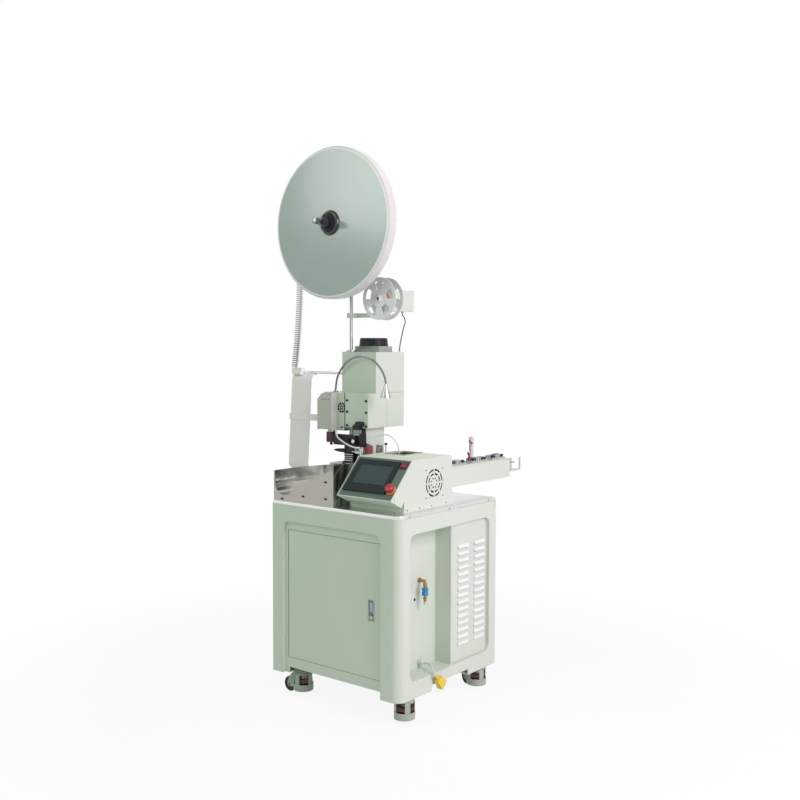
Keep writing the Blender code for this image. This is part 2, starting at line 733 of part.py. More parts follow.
def make_cabinet():
    """The welded shell with its recesses, legs, castor plates and cable gland."""
    cavity = shape([prism(plan_outline(SHEET), "z", FLOOR_TOP, TABLE_BOTTOM + 0.01)],
                   [front_recess(SHEET), side_recess(SHEET), niche(SHEET)])
    skirt = shape([prism(plan_outline(SHEET), "z", CASTOR_HEIGHT + FOOT_PLATE, CASTOR_HEIGHT + LEG_DROP)],
                  [front_recess(SHEET)])
    left_leg = -SIDE_FACE + LEFT_LEG_WIDTH
    right_leg = SIDE_FACE - RIGHT_LEG_WIDTH
    side_leg = CABINET_DEPTH / 2 - LEG_REACH
    under = CASTOR_HEIGHT - 0.02
    rail = CASTOR_HEIGHT + LEG_DROP
    opening = box(DOOR_LEFT - DOOR_CLEARANCE, DOOR_LEFT + DOOR_WIDTH + DOOR_CLEARANCE,
                  DOOR_FACE - 0.01, DOOR_FACE + 0.03,
                  DOOR_BOTTOM - DOOR_CLEARANCE, DOOR_TOP + DOOR_CLEARANCE)
    vent = box(SIDE_FACE - 0.05, SIDE_FACE, NICHE_BACK + 0.03, SIDE_BACK - 0.02,
               CASTOR_HEIGHT + LOUVRE_BOTTOM - 0.012,
               CASTOR_HEIGHT + LOUVRE_BOTTOM + LOUVRE_PITCH * LOUVRE_ROWS)
    air_hole = disc((AIR_Y + 0.008, AIR_TOP), 0.009, "x", SIDE_FACE - NICHE_DEPTH - 0.02,
                    SIDE_FACE - NICHE_DEPTH + 0.01, 16)
    plug_hole = disc((-0.114, 0.434), 0.0045, "x", SIDE_FACE - NICHE_DEPTH - 0.02,
                     SIDE_FACE - NICHE_DEPTH + 0.01, 10)
    cuts = [cavity, skirt, front_recess(0.0), side_recess(0.0), niche(0.0), opening, vent, air_hole,
            plug_hole,
            box(left_leg, right_leg, -1.0, 1.0, under, rail), box(-1.0, 1.0, -side_leg, side_leg, under,
                                                                  rail)]
    adds = [shape([prism(plan_outline(0.0), "z", CASTOR_HEIGHT, TABLE_BOTTOM)], cuts)]
    half = CASTOR_PLATE / 2
    for _, x, y, _ in castor_places():
        adds.append(box(x - half, x + half, y - half, y + half, CASTOR_HEIGHT - 0.005,
                        CASTOR_HEIGHT + 0.001))
    hinge_x = DOOR_LEFT + HINGE_INSET
    hinge_y = DOOR_FACE + HINGE_INSET
    for low, high in ((DOOR_BOTTOM - 0.006, DOOR_BOTTOM + HINGE_PIN_LENGTH),
                      (DOOR_TOP - HINGE_PIN_LENGTH, DOOR_TOP + 0.006)):
        adds.append(disc((hinge_x, hinge_y), HINGE_PIN_RADIUS, "z", low, high, 10))
    for low, high in ((DOOR_BOTTOM - 0.006, DOOR_BOTTOM - DOOR_CLEARANCE),
                      (DOOR_TOP + DOOR_CLEARANCE, DOOR_TOP + 0.006)):
        adds.append(box(hinge_x - 0.006, hinge_x + 0.006, DOOR_FACE + 0.0005, hinge_y + 0.008, low, high))
    adds.append(make_gland())
    add("cabinet_body", shape(adds), mint())


def make_gland():
    """The cable gland on the niche's back wall."""
    wall = SIDE_FACE - NICHE_DEPTH
    nut = disc(GLAND, 0.0125, "x", wall - 0.001, wall + 0.009, 6)
    dome = turned([(0.0, wall), (0.0105, wall), (0.0105, wall + 0.018), (0.0062, wall + 0.024),
                   (0.0, wall + 0.024)], "x", GLAND, 16)
    return shape([nut, dome])


def make_table():
    """The thick plate on the cabinet, with an eased edge."""
    half_width = CABINET_WIDTH / 2 - TABLE_MARGIN
    half_depth = CABINET_DEPTH / 2 - TABLE_MARGIN
    bm = bmesh.new()
    bm.from_mesh(prism(rounded(-half_width, half_width, -half_depth, half_depth, corner_radii(TABLE_MARGIN),
                               7),
                       "z", TABLE_BOTTOM + GAP, TABLE_TOP))
    rim = [e for e in bm.edges if all(abs(v.co.z - TABLE_TOP) < 1e-6 for v in e.verts)]
    bmesh.ops.bevel(bm, geom=rim, offset=0.0015, segments=1, affect="EDGES")
    add("table_plate", finish(bm), steel())


def make_louvre_panel():
    """The vent panel in the side recess: two columns of pressed hoods, open below."""
    outer = SIDE_FACE - SIDE_DEPTH
    inner = outer - PANEL_THICKNESS
    low = CASTOR_HEIGHT + SIDE_BOTTOM + GAP
    high = CASTOR_HEIGHT + SIDE_TOP - GAP
    radius = SIDE_RADIUS - GAP
    adds = [prism(rounded(NICHE_BACK + GAP, SIDE_BACK - GAP, low, high, (0, radius, radius, 0)), "x", inner,
                  outer)]
    cuts = []
    for column in range(2):
        start = NICHE_BACK + LOUVRE_FIRST + column * LOUVRE_COLUMN_PITCH
        for row in range(LOUVRE_ROWS):
            foot = CASTOR_HEIGHT + LOUVRE_BOTTOM + row * LOUVRE_PITCH
            head = foot + LOUVRE_HEIGHT
            hood = [(outer - 0.001, foot), (outer + LOUVRE_PROUD, foot),
                    (outer + LOUVRE_PROUD * 0.6, head - 0.003), (outer - 0.001, head)]
            skin = LOUVRE_SKIN
            room = [(inner - 0.01, foot - 0.002), (outer + LOUVRE_PROUD - skin, foot - 0.002),
                    (outer + skin, head - 3.0 * skin), (inner - 0.01, head - 3.0 * skin)]
            adds.append(prism(hood, "y", start, start + LOUVRE_LENGTH))
            cuts.append(prism(room, "y", start + skin, start + LOUVRE_LENGTH - skin))
            cuts.append(box(outer + 1e-4, outer + 0.02, start - 0.002, start + LOUVRE_LENGTH + 0.002,
                            foot - 0.004, foot))
    add("louvre_panel", shape(adds, cuts), mint())


def make_door():
    """The folded door pan, its latch cup and the paddle that swings in it."""
    right = DOOR_LEFT + DOOR_WIDTH
    back = DOOR_FACE + DOOR_THICKNESS
    radius = HINGE_INSET
    pan = prism(rounded(DOOR_LEFT, right, DOOR_FACE, back, (radius, 0.001, 0, 0)), "z", DOOR_BOTTOM,
                DOOR_TOP)
    hollow = box(DOOR_LEFT + 0.012, right - SHEET, DOOR_FACE + SHEET, back + 0.01,
                 DOOR_BOTTOM + SHEET, DOOR_TOP - SHEET)
    middle = CASTOR_HEIGHT + LATCH_RISE
    half_width = LATCH_WIDTH / 2
    half_height = LATCH_HEIGHT / 2
    rim = prism(rounded(LATCH_X - half_width, LATCH_X + half_width, middle - half_height,
                        middle + half_height,
                        0.004, 3), "y", DOOR_FACE - 0.0015, DOOR_FACE + 0.001)
    cup = box(LATCH_X - half_width, LATCH_X + half_width, DOOR_FACE + 0.0005,
              DOOR_FACE + LATCH_POCKET + SHEET,
              middle - half_height, middle + half_height)
    pocket = box(LATCH_X - half_width + LATCH_RIM, LATCH_X + half_width - LATCH_RIM, DOOR_FACE - 0.01,
                 DOOR_FACE + LATCH_POCKET, middle - half_height + LATCH_RIM,
                 middle + half_height - LATCH_RIM)
    lock = disc((LATCH_X, middle - half_height + 0.014), 0.0075, "y", DOOR_FACE - 0.001,
                DOOR_FACE + LATCH_POCKET + 0.001, 16)
    bores = [disc((DOOR_LEFT + HINGE_INSET, DOOR_FACE + HINGE_INSET), HINGE_PIN_RADIUS + PIN_CLEARANCE, "z",
                  low, high, 10)
             for low, high in ((DOOR_BOTTOM - 0.01, DOOR_BOTTOM + HINGE_PIN_LENGTH + 0.001),
                               (DOOR_TOP - HINGE_PIN_LENGTH - 0.001, DOOR_TOP + 0.01))]
    hinge = (DOOR_LEFT + HINGE_INSET, DOOR_FACE + HINGE_INSET, DOOR_BOTTOM)
    pivot("door", hinge)
    leaf = shape([shape([pan], [hollow]), rim, cup], [pocket] + bores)
    add("door", shape([leaf, lock]), mint(), "door")
    make_paddle(middle + half_height - LATCH_RIM)


def make_paddle(top):
    """The latch paddle, hinged at its upper edge."""
    half = LATCH_WIDTH / 2 - LATCH_RIM - 0.0006
    thick = PADDLE_THICKNESS
    hinge_y = DOOR_FACE + 0.0020
    hinge_z = top - 0.0028
    pivot("paddle", (LATCH_X, hinge_y, hinge_z), "door")
    blade = prism([(hinge_y - thick / 2, hinge_z), (hinge_y - thick / 2, hinge_z - PADDLE_LENGTH),
                   (hinge_y + thick / 2, hinge_z - PADDLE_LENGTH), (hinge_y + thick / 2, hinge_z)], "x",
                  LATCH_X - half, LATCH_X + half)
    knuckle = disc((hinge_y, hinge_z), 0.0020, "x", LATCH_X - half, LATCH_X + half, 10)
    add("latch_paddle", shape([blade, knuckle]), steel(), "paddle")


def make_electrics():
    """The mounting plate inside the cabinet with its drive modules, ducts and terminal rail."""
    back = ELECTRICS_BACK
    left, right = ELECTRICS_PLATE
    low = FLOOR_TOP + GAP
    adds = [box(left, right, back, back + 0.003, low, ELECTRICS_TOP),
            box(left, right, back - 0.030, back + 0.001, low, low + 0.003)]
    start, width, depth, z0, z1 = MODULE
    for i in range(MODULE_COUNT):
        left = start + i * MODULE_PITCH
        adds.append(box(left, left + width, back - depth, back + 0.001, z0, z1))
    for x0, x1, depth, z0, z1 in ELECTRICS_BOXES:
        adds.append(box(x0, x1, back - depth, back + 0.001, z0, z1))
    add("control_panel", shape(adds), grey())


def rounded_block(x0, x1, y0, y1, z0, z1, radius):
    """A block whose upright edges are round."""
    return prism(rounded(x0, x1, y0, y1, radius, 3), "z", z0, z1)


def make_castor(name, x, y, trail):
    """A levelling castor: swivel housing, trailing wheel and the screw foot in its cup."""
    turn = about((x, y, 0.0), trail, "Z")
    top = CASTOR_HEIGHT - 0.005 - GAP
    pivot(name + "_swivel", (x, y, 0.0))
    cup = turned([(CUP_RADIUS - CUP_WALL, CUP_BOTTOM), (CUP_RADIUS, CUP_BOTTOM), (CUP_RADIUS, CUP_RIM_TOP),
                  (CUP_RADIUS - CUP_WALL, CUP_RIM_TOP)], "z", (x, y), 20)
    crown = turned([(STEM_RADIUS + GAP, top - 0.010), (CUP_RADIUS - 0.002, top - 0.010),
                    (CUP_RADIUS - 0.008, top), (STEM_RADIUS + GAP, top)], "z", (x, y), 20)
    adds = [crown, cup]
    for angle in (90.0, 180.0, 270.0):
        post = prism(ring_sector((x, y), CUP_RADIUS - CUP_WALL, CUP_RADIUS - 0.0012, angle - 16.0,
                                 angle + 16.0, 1), "z", CUP_RIM_TOP - 0.004, top - 0.0085)
        adds.append(post)
    wheel_x = x + WHEEL_OFFSET
    inside = WHEEL_WIDTH / 2 + 0.001
    side = [(x + CUP_RADIUS - 0.006, top - 0.001), (x + CUP_RADIUS - 0.016, top - 0.001),
            (x + CUP_RADIUS - 0.016, SIDE_PLATE_TOP), (x + CUP_RADIUS - 0.006, SIDE_PLATE_TOP),
            (x + CUP_RADIUS - 0.006, CUP_BOTTOM + 0.005), (wheel_x - 0.008, WHEEL_RADIUS - 0.008),
            (wheel_x + 0.008, WHEEL_RADIUS - 0.008), (wheel_x + 0.010, WHEEL_RADIUS + 0.008),
            (wheel_x - 0.008, SIDE_PLATE_TOP + 0.003)]
    axle_hole = disc((wheel_x, WHEEL_RADIUS), AXLE_RADIUS + 0.0002, "y", y - 0.05, y + 0.05, 12)
    cheeks = [prism(side, "y", low, low + 0.003) for low in (y + inside, y - inside - 0.003)]
    bridge = box(x + CUP_RADIUS - 0.014, wheel_x - 0.009, y - inside - 0.001, y + inside + 0.001,
                 SIDE_PLATE_TOP, SIDE_PLATE_TOP + 0.003)
    well = disc((x, y), CUP_RADIUS - CUP_WALL, "z", CUP_BOTTOM - 0.01, SIDE_PLATE_TOP - 0.001, 20)
    wheel_room = box(x + CUP_RADIUS - 0.010, x + CUP_RADIUS + 0.01, y - inside, y + inside,
                     CUP_BOTTOM - 0.01, SIDE_PLATE_TOP)
    housing = shape([shape(adds), *cheeks, bridge], [axle_hole, well, wheel_room])
    add(name + "_housing", moved(housing, turn), mint(), name + "_swivel")
    add_wheel(name, wheel_x, y, inside, turn)
    add_foot(name, x, y, top)


def add_wheel(name, wheel_x, y, inside, turn):
    """A nylon wheel whose lowest flat lies on the floor, with its axle."""
    steps = 20
    rim = WHEEL_RADIUS / math.cos(math.pi / steps)
    half = WHEEL_WIDTH / 2
    profile = [(AXLE_RADIUS - 0.001, -half + 0.003), (rim - 0.006, -half + 0.003), (rim - 0.005, -half),
               (rim - 0.001, -half), (rim, -half + 0.001), (rim, half - 0.001), (rim - 0.001, half),
               (rim - 0.005, half), (rim - 0.006, half - 0.003), (AXLE_RADIUS - 0.001, half - 0.003)]
    placed = [(radius, offset + y) for radius, offset in profile]
    tyre = turned(placed, "y", (wheel_x, WHEEL_RADIUS), steps, 180.0 / steps - 90.0)
    axle = disc((wheel_x, WHEEL_RADIUS), AXLE_RADIUS, "y", y - inside - 0.0035, y + inside + 0.0035, 12)
    wheel = moved(shape([tyre, axle]), turn)
    hub = turn @ Vector((wheel_x, y, WHEEL_RADIUS))
    pivot(name + "_axle", hub, name + "_swivel")
    add(name + "_wheel", wheel, black(), name + "_axle")


def add_foot(name, x, y, top):
    """The rubber pad, threaded stem and red thumbwheel that screw down as one."""
    pad = CUP_BOTTOM - 0.001
    profile = [(0.0, pad - 0.0005), (PAD_RADIUS - 0.001, pad - 0.0005), (PAD_RADIUS, pad + 0.0010),
               (PAD_RADIUS, pad + PAD_HEIGHT), (STEM_RADIUS, pad + PAD_HEIGHT), (STEM_RADIUS, 0.052),
               (THUMBWHEEL_RADIUS, 0.052), (THUMBWHEEL_RADIUS, 0.066),
               (STEM_RADIUS, 0.066), (STEM_RADIUS, top - 0.002), (0.0, top - 0.002)]
    pivot(name + "_screw", (x, y, pad), name + "_swivel")
    add(name + "_foot", turned(profile, "z", (x, y), 20), red(), name + "_screw")


def console_profile():
    """The console seen from its right side, anticlockwise in y and z."""
    base = ON_TABLE
    return ([(CONSOLE_FRONT, base), (CONSOLE_BACK, base), (CONSOLE_BACK, CONSOLE_ROOF - 0.016)]
            + arc((CONSOLE_BACK - 0.016, CONSOLE_ROOF - 0.016), 0.016, 15, 90, 4)
            + [(SLANT_HEAD_Y, CONSOLE_ROOF), (SLANT_FOOT_Y, base + SLANT_FOOT_RISE),
               (NOSE_Y, base + NOSE_RISE), (CONSOLE_FRONT, base + NOSE_RISE + NOSE_LIP)])


def slant_frame():
    """The frame of the slanted face: x along it, y up it, z out of it, from its lower left corner."""
    foot = Vector((CONSOLE_LEFT, SLANT_FOOT_Y, ON_TABLE + SLANT_FOOT_RISE))
    up = Vector((0.0, SLANT_HEAD_Y - SLANT_FOOT_Y, CONSOLE_TOP - SLANT_FOOT_RISE))
    length = up.length
    up.normalize()
    along = Vector((1.0, 0.0, 0.0))
    out = along.cross(up)
    frame = Matrix((along, up, out)).transposed().to_4x4()
    frame.translation = foot
    return frame, length


def make_console():
    """The folded console with its slanted face, fan grille, hatch and fan frame."""
    frame, slant = slant_frame()
    width = CONSOLE_RIGHT - CONSOLE_LEFT
    skin = SHEET
    profile = console_profile()
    inner = inset(profile, skin)
    inner[0] = (inner[0][0], ON_TABLE - 0.01)
    inner[1] = (inner[1][0], ON_TABLE - 0.01)
    shell = shape([prism(profile, "x", CONSOLE_LEFT, CONSOLE_RIGHT)],
                  [prism(inner, "x", CONSOLE_LEFT + skin, CONSOLE_RIGHT - skin)])
    fan_z = ON_TABLE + FAN_RISE
    half = FAN_SIZE / 2
    fan_back = CONSOLE_RIGHT - skin - FAN_DEPTH
    ring = shape([box(fan_back, CONSOLE_RIGHT - skin + 0.0005, FAN_Y - half, FAN_Y + half, fan_z - half,
                      fan_z + half)],
                 [disc((FAN_Y, fan_z), FAN_BORE, "x", fan_back - 0.01, CONSOLE_RIGHT, 32)])
    struts = [disc((FAN_Y, fan_z), 0.020, "x", fan_back, fan_back + 0.003, 20),
              box(fan_back, fan_back + 0.003, FAN_Y - half + 0.001, FAN_Y + half - 0.001, fan_z - 0.002,
                  fan_z + 0.002),
              box(fan_back, fan_back + 0.003, FAN_Y - 0.002, FAN_Y + 0.002, fan_z - half + 0.001,
                  fan_z + half - 0.001)]
    hatch_x0, hatch_x1, hatch_y0, hatch_y1 = HATCH
    rim = HATCH_RIM
    collar = moved(turned([(0.0104, 0.0), (STOP_COLLAR_RADIUS, 0.0), (STOP_COLLAR_RADIUS, 0.003),
                           (STOP_COLLAR_RADIUS - 0.005, 0.007), (0.0104, 0.007)], "z", (STOP_X,
                                                                                        STOP_RISE), 24),
                   frame @ Matrix.Translation((0, 0, -BEZEL_RECESS - 0.0005)))
    half_switch = SWITCH_SIZE / 2
    switch_frame = moved(box(SWITCH_X - half_switch, SWITCH_X + half_switch, SWITCH_RISE - half_switch,
                             SWITCH_RISE + half_switch, -BEZEL_RECESS - 0.014, 0.0015), frame)
    field = moved(box(BEZEL_RIM, width - BEZEL_RIM, BEZEL_RIM, slant - BEZEL_RIM, -BEZEL_RECESS, 0.01),
                  frame)
    adds = [shape([shell], [field]), ring, *struts, collar, switch_frame,
            box(hatch_x0 - rim, hatch_x1 + rim, hatch_y0 - rim, hatch_y1 + rim, CONSOLE_ROOF - 0.001,
                CONSOLE_ROOF + 0.003)]
    pocket = half_switch - SWITCH_FRAME
    cuts = [box(hatch_x0, hatch_x1, hatch_y0, hatch_y1, CONSOLE_ROOF - 0.02, CONSOLE_ROOF + 0.01),
            moved(box(SWITCH_X - pocket, SWITCH_X + pocket, SWITCH_RISE - pocket, SWITCH_RISE + pocket,
                      -BEZEL_RECESS - 0.012, 0.01), frame),
            moved(disc((STOP_X, STOP_RISE), 0.0108, "z", -0.03, 0.01, 20), frame)]
    cuts.extend(grille_cuts(fan_z))
    add("console_housing", shape([shape(adds)], cuts), mint())
    make_screen(frame)
    make_switch(frame)
    make_stop(frame)
    make_rotor(fan_z, fan_back)


def grille_cuts(fan_z):
    """The three rings of slots in front of the fan."""
    cuts = []
    pitch = 360.0 / GRILLE_SLOTS
    for inner, outer in GRILLE_RINGS:
        bridge = math.degrees(GRILLE_BRIDGE / (inner + outer))
        for i in range(GRILLE_SLOTS):
            low = i * pitch + bridge
            outline = ring_sector((FAN_Y, fan_z), inner, outer, low, low + pitch - 2 * bridge, 2)
            cuts.append(prism(outline, "x", CONSOLE_RIGHT - SHEET - 0.001, CONSOLE_RIGHT + 0.01))
    return cuts


def make_screen(frame):
    """The touch screen: a raised bezel round a sunk glass."""
    low = -BEZEL_RECESS + GAP
    bezel = box(SCREEN_LEFT, SCREEN_LEFT + SCREEN_WIDTH, SCREEN_RISE, SCREEN_RISE + SCREEN_HEIGHT, low,
                SCREEN_PROUD)
    sunk = box(SCREEN_LEFT + GLASS_LEFT - 0.003, SCREEN_LEFT + GLASS_LEFT + GLASS_WIDTH + 0.003,
               SCREEN_RISE + GLASS_RISE - 0.003, SCREEN_RISE + GLASS_RISE + GLASS_HEIGHT + 0.003,
               SCREEN_PROUD - 0.001, SCREEN_PROUD + 0.01)
    add("touch_screen", moved(shape([bezel], [sunk]), frame), dark_plastic())


def make_switch(frame):
    """The red rocker switch, resting on one side."""
    half = SWITCH_SIZE / 2 - SWITCH_FRAME - 0.0008
    outline = [(-half, -0.006), (0.0, -0.010), (half, -0.006), (half, 0.0035), (0.0, 0.0015),
               (-half, 0.0035)]
    rocker = prism(outline, "x", -half, half)
    hub = frame @ Vector((SWITCH_X, SWITCH_RISE, -0.0005))
    tilt = Matrix.Rotation(math.radians(-SWITCH_TILT), 4, "X")
    facing = frame.to_quaternion().to_matrix().to_4x4()
    pivot("switch", hub)
    add("power_switch", moved(rocker, Matrix.Translation(hub) @ facing @ tilt), red(), "switch")


def make_stop(frame):
    """The mushroom stop button on its stem."""
    seat = 0.0085
    profile = [(0.0, -0.012), (0.0100, -0.012), (0.0100, seat + 0.001), (STOP_RADIUS - 0.002, seat + 0.001),
               (STOP_RADIUS, seat + 0.003), (STOP_RADIUS, seat + 0.009), (STOP_RADIUS - 0.0025,
                                                                          seat + 0.014),
               (STOP_RADIUS - 0.009, seat + 0.0165), (0.0, seat + 0.0165)]
    button = turned(profile, "z", (STOP_X, STOP_RISE), 24)
    pivot("stop", frame @ Vector((STOP_X, STOP_RISE, seat)))
    add("stop_button", moved(button, frame), red(), "stop")


def make_rotor(fan_z, fan_back):
    """The fan's hub and blades."""
    front = CONSOLE_RIGHT - SHEET - 0.002
    back = fan_back + 0.0035
    adds = [disc((FAN_Y, fan_z), 0.019, "x", back, front, 21)]
    reach = FAN_BORE - 0.0025
    for i in range(BLADE_COUNT):
        blade = prism([(FAN_Y + 0.0165, -0.0008), (FAN_Y + reach, -0.0008), (FAN_Y + reach, 0.0008),
                       (FAN_Y + 0.0165, 0.0008)], "x", -0.011, 0.011)
        skew = Matrix.Rotation(math.radians(38.0), 4, "Y")
        blade = moved(blade, Matrix.Translation(((back + front) / 2, 0.0, fan_z)) @ skew)
        adds.append(moved(blade, about((0.0, FAN_Y, fan_z), i * 360.0 / BLADE_COUNT, "X")))
    pivot("fan", (back, FAN_Y, fan_z))
    add("fan_rotor", shape(adds), dark_plastic(), "fan")


def tray_path():
    """The bent floor of the tray seen from the front: wall, round bottom, ramp."""
    base = ON_TABLE
    centre = (TRAY_CORNER_X, base + TRAY_CORNER_RISE)
    path = [(TRAY_LEFT, base + TRAY_SIDE_RISE)]
    path.extend(arc(centre, TRAY_RADIUS, 180.0, 360.0 + TRAY_KNEE_ANGLE, 12))
    path.append((TRAY_RIGHT - 0.004, base + TRAY_RAMP_RISE))
    return path


def make_tray():
    """The catch tray: a bent trough, its notched front plate and the side guard."""
    base = ON_TABLE
    path = tray_path()
    front = TRAY_FRONT + TRAY_PLATE
    trough = prism(ribbon(path, THIN_SHEET), "y", front + GAP, TRAY_BACK)
    back_outline = [(TRAY_LEFT + THIN_SHEET / 2, base), (TRAY_RIGHT - 0.004, base),
                    (TRAY_RIGHT - 0.004, base + TRAY_RAMP_RISE), (TRAY_RIGHT - 0.060,
                                                                  base + TRAY_RAMP_RISE + 0.010),
                    (TRAY_LEFT + THIN_SHEET / 2, base + TRAY_SIDE_RISE)]
    back = prism(back_outline, "y", TRAY_BACK - THIN_SHEET, TRAY_BACK)
    right = TRAY_RIGHT + GAP + THIN_SHEET
    guard_path = smooth_path([(right, TRAY_FRONT, 0), (right + 0.0005, TRAY_FRONT + 0.055, 0),
                              (right + 0.007, GUARD_BACK - 0.060, 0), (right + 0.022, GUARD_BACK, 0)], 0.03)
    guard = prism(ribbon([(p.x, p.y) for p in guard_path], THIN_SHEET), "z", base, base + GUARD_RISE)
    tab = box(TRAY_RIGHT - 0.006, right, front + GAP, front + 0.014,
              base + TRAY_RAMP_RISE - 0.004, base + TRAY_RAMP_RISE + 0.001)
    add("tray_trough", shape([trough, back, guard, tab]), steel())
    notch = [(TRAY_LEFT + 0.006, base + TRAY_SIDE_RISE + 0.05)]
    inner = arc((TRAY_CORNER_X, base + TRAY_CORNER_RISE), TRAY_RADIUS - 0.006, 180.0,
                360.0 + TRAY_KNEE_ANGLE, 12)
    ramp_end = (TRAY_RIGHT + 0.01, base + TRAY_RAMP_RISE + 0.006)
    notch.extend(inner)
    notch.extend([ramp_end, (TRAY_RIGHT + 0.01, base + TRAY_SIDE_RISE + 0.08)])
    notch_top = base + TRAY_SIDE_RISE + 0.05
    notch[-1] = (TRAY_RIGHT + 0.01, notch_top)
    plate = box(TRAY_LEFT, TRAY_RIGHT, TRAY_FRONT, front, base, base + TRAY_PLATE_RISE)
    cuts = [prism(notch, "y", TRAY_FRONT - 0.01, front + 0.01),
            box(TRAY_LEFT - 0.01, TRAY_LEFT + 0.020, TRAY_FRONT - 0.01, front + 0.01,
                base + TRAY_SIDE_RISE, base + TRAY_PLATE_RISE + 0.01)]
    for x, rise in ((-0.045, 0.0935), (-0.164, 0.028), (-0.045, 0.029), (-0.278, 0.0085)):
        cuts.append(prism(rounded(x - 0.0065, x + 0.0065, base + rise - 0.0028, base + rise + 0.0028,
                                  0.0027, 2),
                          "y", TRAY_FRONT - 0.01, front + 0.01))
    add("tray_front_plate", shape([plate], cuts), grey())


def bolt_heads(places, axis, face, direction):
    """Round bolt heads standing on a face."""
    low = face - 0.001 if direction > 0 else face - BOLT_HEIGHT
    high = face + BOLT_HEIGHT if direction > 0 else face + 0.001
    return [disc(place, BOLT_RADIUS, axis, low, high, 12) for place in places]


def make_press():
    """The press: bed, column and head in one casting, its face plate, ram, housing and motor."""
    bed_x0, bed_x1, bed_y0, bed_y1, _ = BED
    column_x0, column_x1, column_y0, column_y1 = COLUMN
    adds = [rounded_block(bed_x0, bed_x1, bed_y0, bed_y1, ON_TABLE, BED_TOP, 0.006),
            rounded_block(column_x0, column_x1, column_y0, column_y1, BED_TOP - 0.001, HEAD_BOTTOM + 0.001,
                          0.004),
            rounded_block(HEAD_LEFT, HEAD_RIGHT, HEAD_FRONT, HEAD_BACK, HEAD_BOTTOM, HEAD_TOP, 0.003),
            rounded_block(HEAD_LEFT + 0.006, HEAD_RIGHT, HEAD_BACK + 0.0015, COVER_BACK, COVER_BOTTOM,
                          COVER_TOP, 0.004),
            box(HEAD_LEFT + 0.012, HEAD_RIGHT - 0.003, HEAD_BACK - 0.001, HEAD_BACK + 0.003,
                COVER_BOTTOM + 0.004, COVER_TOP - 0.004)]
    slot = box(RAM_LEFT, RAM_RIGHT, HEAD_FRONT - 0.01, RAM_BACK, RAM_BOTTOM - RAM_TRAVEL - 0.003,
               RAM_TOP + 0.005)
    add("press_frame", shape(adds, [slot]), mint())
    face = HEAD_FRONT - GAP
    plate = box(HEAD_LEFT, HEAD_RIGHT, face - FACE_PLATE, face, HEAD_BOTTOM, HEAD_TOP)
    notch = box(TONGUE[0] - 0.002, TONGUE[1] + 0.002, face - 0.02, face + 0.01, HEAD_BOTTOM - 0.01,
                TONGUE_TOP + 0.004)
    places = []
    for x in (HEAD_LEFT + 0.012, HEAD_RIGHT - 0.008):
        for z in (HEAD_TOP - 0.030, HEAD_TOP - 0.076, HEAD_TOP - 0.131):
            places.append((x, z))
    add("press_face_plate", shape([shape([plate], [notch])] + bolt_heads(places, "y", face - FACE_PLATE,
                                                                         -1)), mint())
    pivot("ram", ((RAM_LEFT + RAM_RIGHT) / 2, HEAD_FRONT, RAM_BOTTOM))
    block = box(RAM_LEFT + GAP, RAM_RIGHT - GAP, HEAD_FRONT + GAP, RAM_BACK - GAP, RAM_BOTTOM, RAM_TOP)
    tongue = box(TONGUE[0], TONGUE[1], TONGUE_FRONT, HEAD_FRONT + 0.002, RAM_BOTTOM, TONGUE_TOP)
    add("press_ram", shape([block, tongue]), black(), "ram")
    outer = rounded_block(HOUSING_LEFT, HEAD_RIGHT, HOUSING_FRONT, HOUSING_BACK, HEAD_TOP + GAP,
                          HOUSING_TOP, 0.003)
    wall = HOUSING_WALL
    inner = box(HOUSING_LEFT + wall, HEAD_RIGHT - wall, HOUSING_FRONT + wall, HOUSING_BACK - wall,
                HEAD_TOP - 0.01, HOUSING_TOP - wall)
    grommet = turned([(0.0, HOUSING_TOP - 0.001), (0.006, HOUSING_TOP - 0.001), (0.006, HOUSING_TOP + 0.003),
                      (0.0, HOUSING_TOP + 0.003)], "z", GROMMET, 12)
    add("press_housing", shape([shape([outer], [inner]), grommet]), mint())
    base_x0, base_x1, base_y0, base_y1 = MOTOR_BASE
    low = HOUSING_TOP + GAP
    middle = low + MOTOR_BASE_HEIGHT
    cover = turned([(0.0, middle - 0.001), (MOTOR_RADIUS, middle - 0.001), (MOTOR_RADIUS, middle + 0.004),
                    (MOTOR_RADIUS - 0.003, middle + MOTOR_HEIGHT - 0.003),
                    (MOTOR_RADIUS - 0.006, middle + MOTOR_HEIGHT), (0.0, middle + MOTOR_HEIGHT)],
                   "z", MOTOR_CENTRE, 32)
    add("press_motor", shape([rounded_block(base_x0, base_x1, base_y0, base_y1, low, middle, 0.004),
                              cover]), black())


def make_wire_box():
    """The box left of the head that holds the wire drive, with its front cover and vents."""
    main = rounded_block(BOX_LEFT, BOX_RIGHT, BOX_FRONT, BOX_BACK, BOX_BOTTOM, HEAD_TOP, 0.003)
    left, right, front = BOX_COVER
    low = BOX_BOTTOM + 0.004
    outline = [(left, low), (right - 0.018, low), (right - 0.018, low - 0.008), (right, low - 0.008),
               (right, BOX_COVER_TOP), (left + 0.023, BOX_COVER_TOP), (left, BOX_COVER_TOP - 0.024)]
    cover = prism(outline, "y", front, BOX_FRONT + 0.001)
    cuts = []
    for inner, outer in VENT_RINGS:
        bridge = math.degrees(0.0026 / (inner + outer))
        for i in range(8):
            outline = ring_sector(VENT_CENTRE, inner, outer, i * 45.0 + bridge, i * 45.0 + 45.0 - bridge, 1)
            cuts.append(prism(outline, "y", BOX_FRONT - 0.01, BOX_FRONT + 0.004))
    add("wire_box", shape([main, cover], cuts), mint())


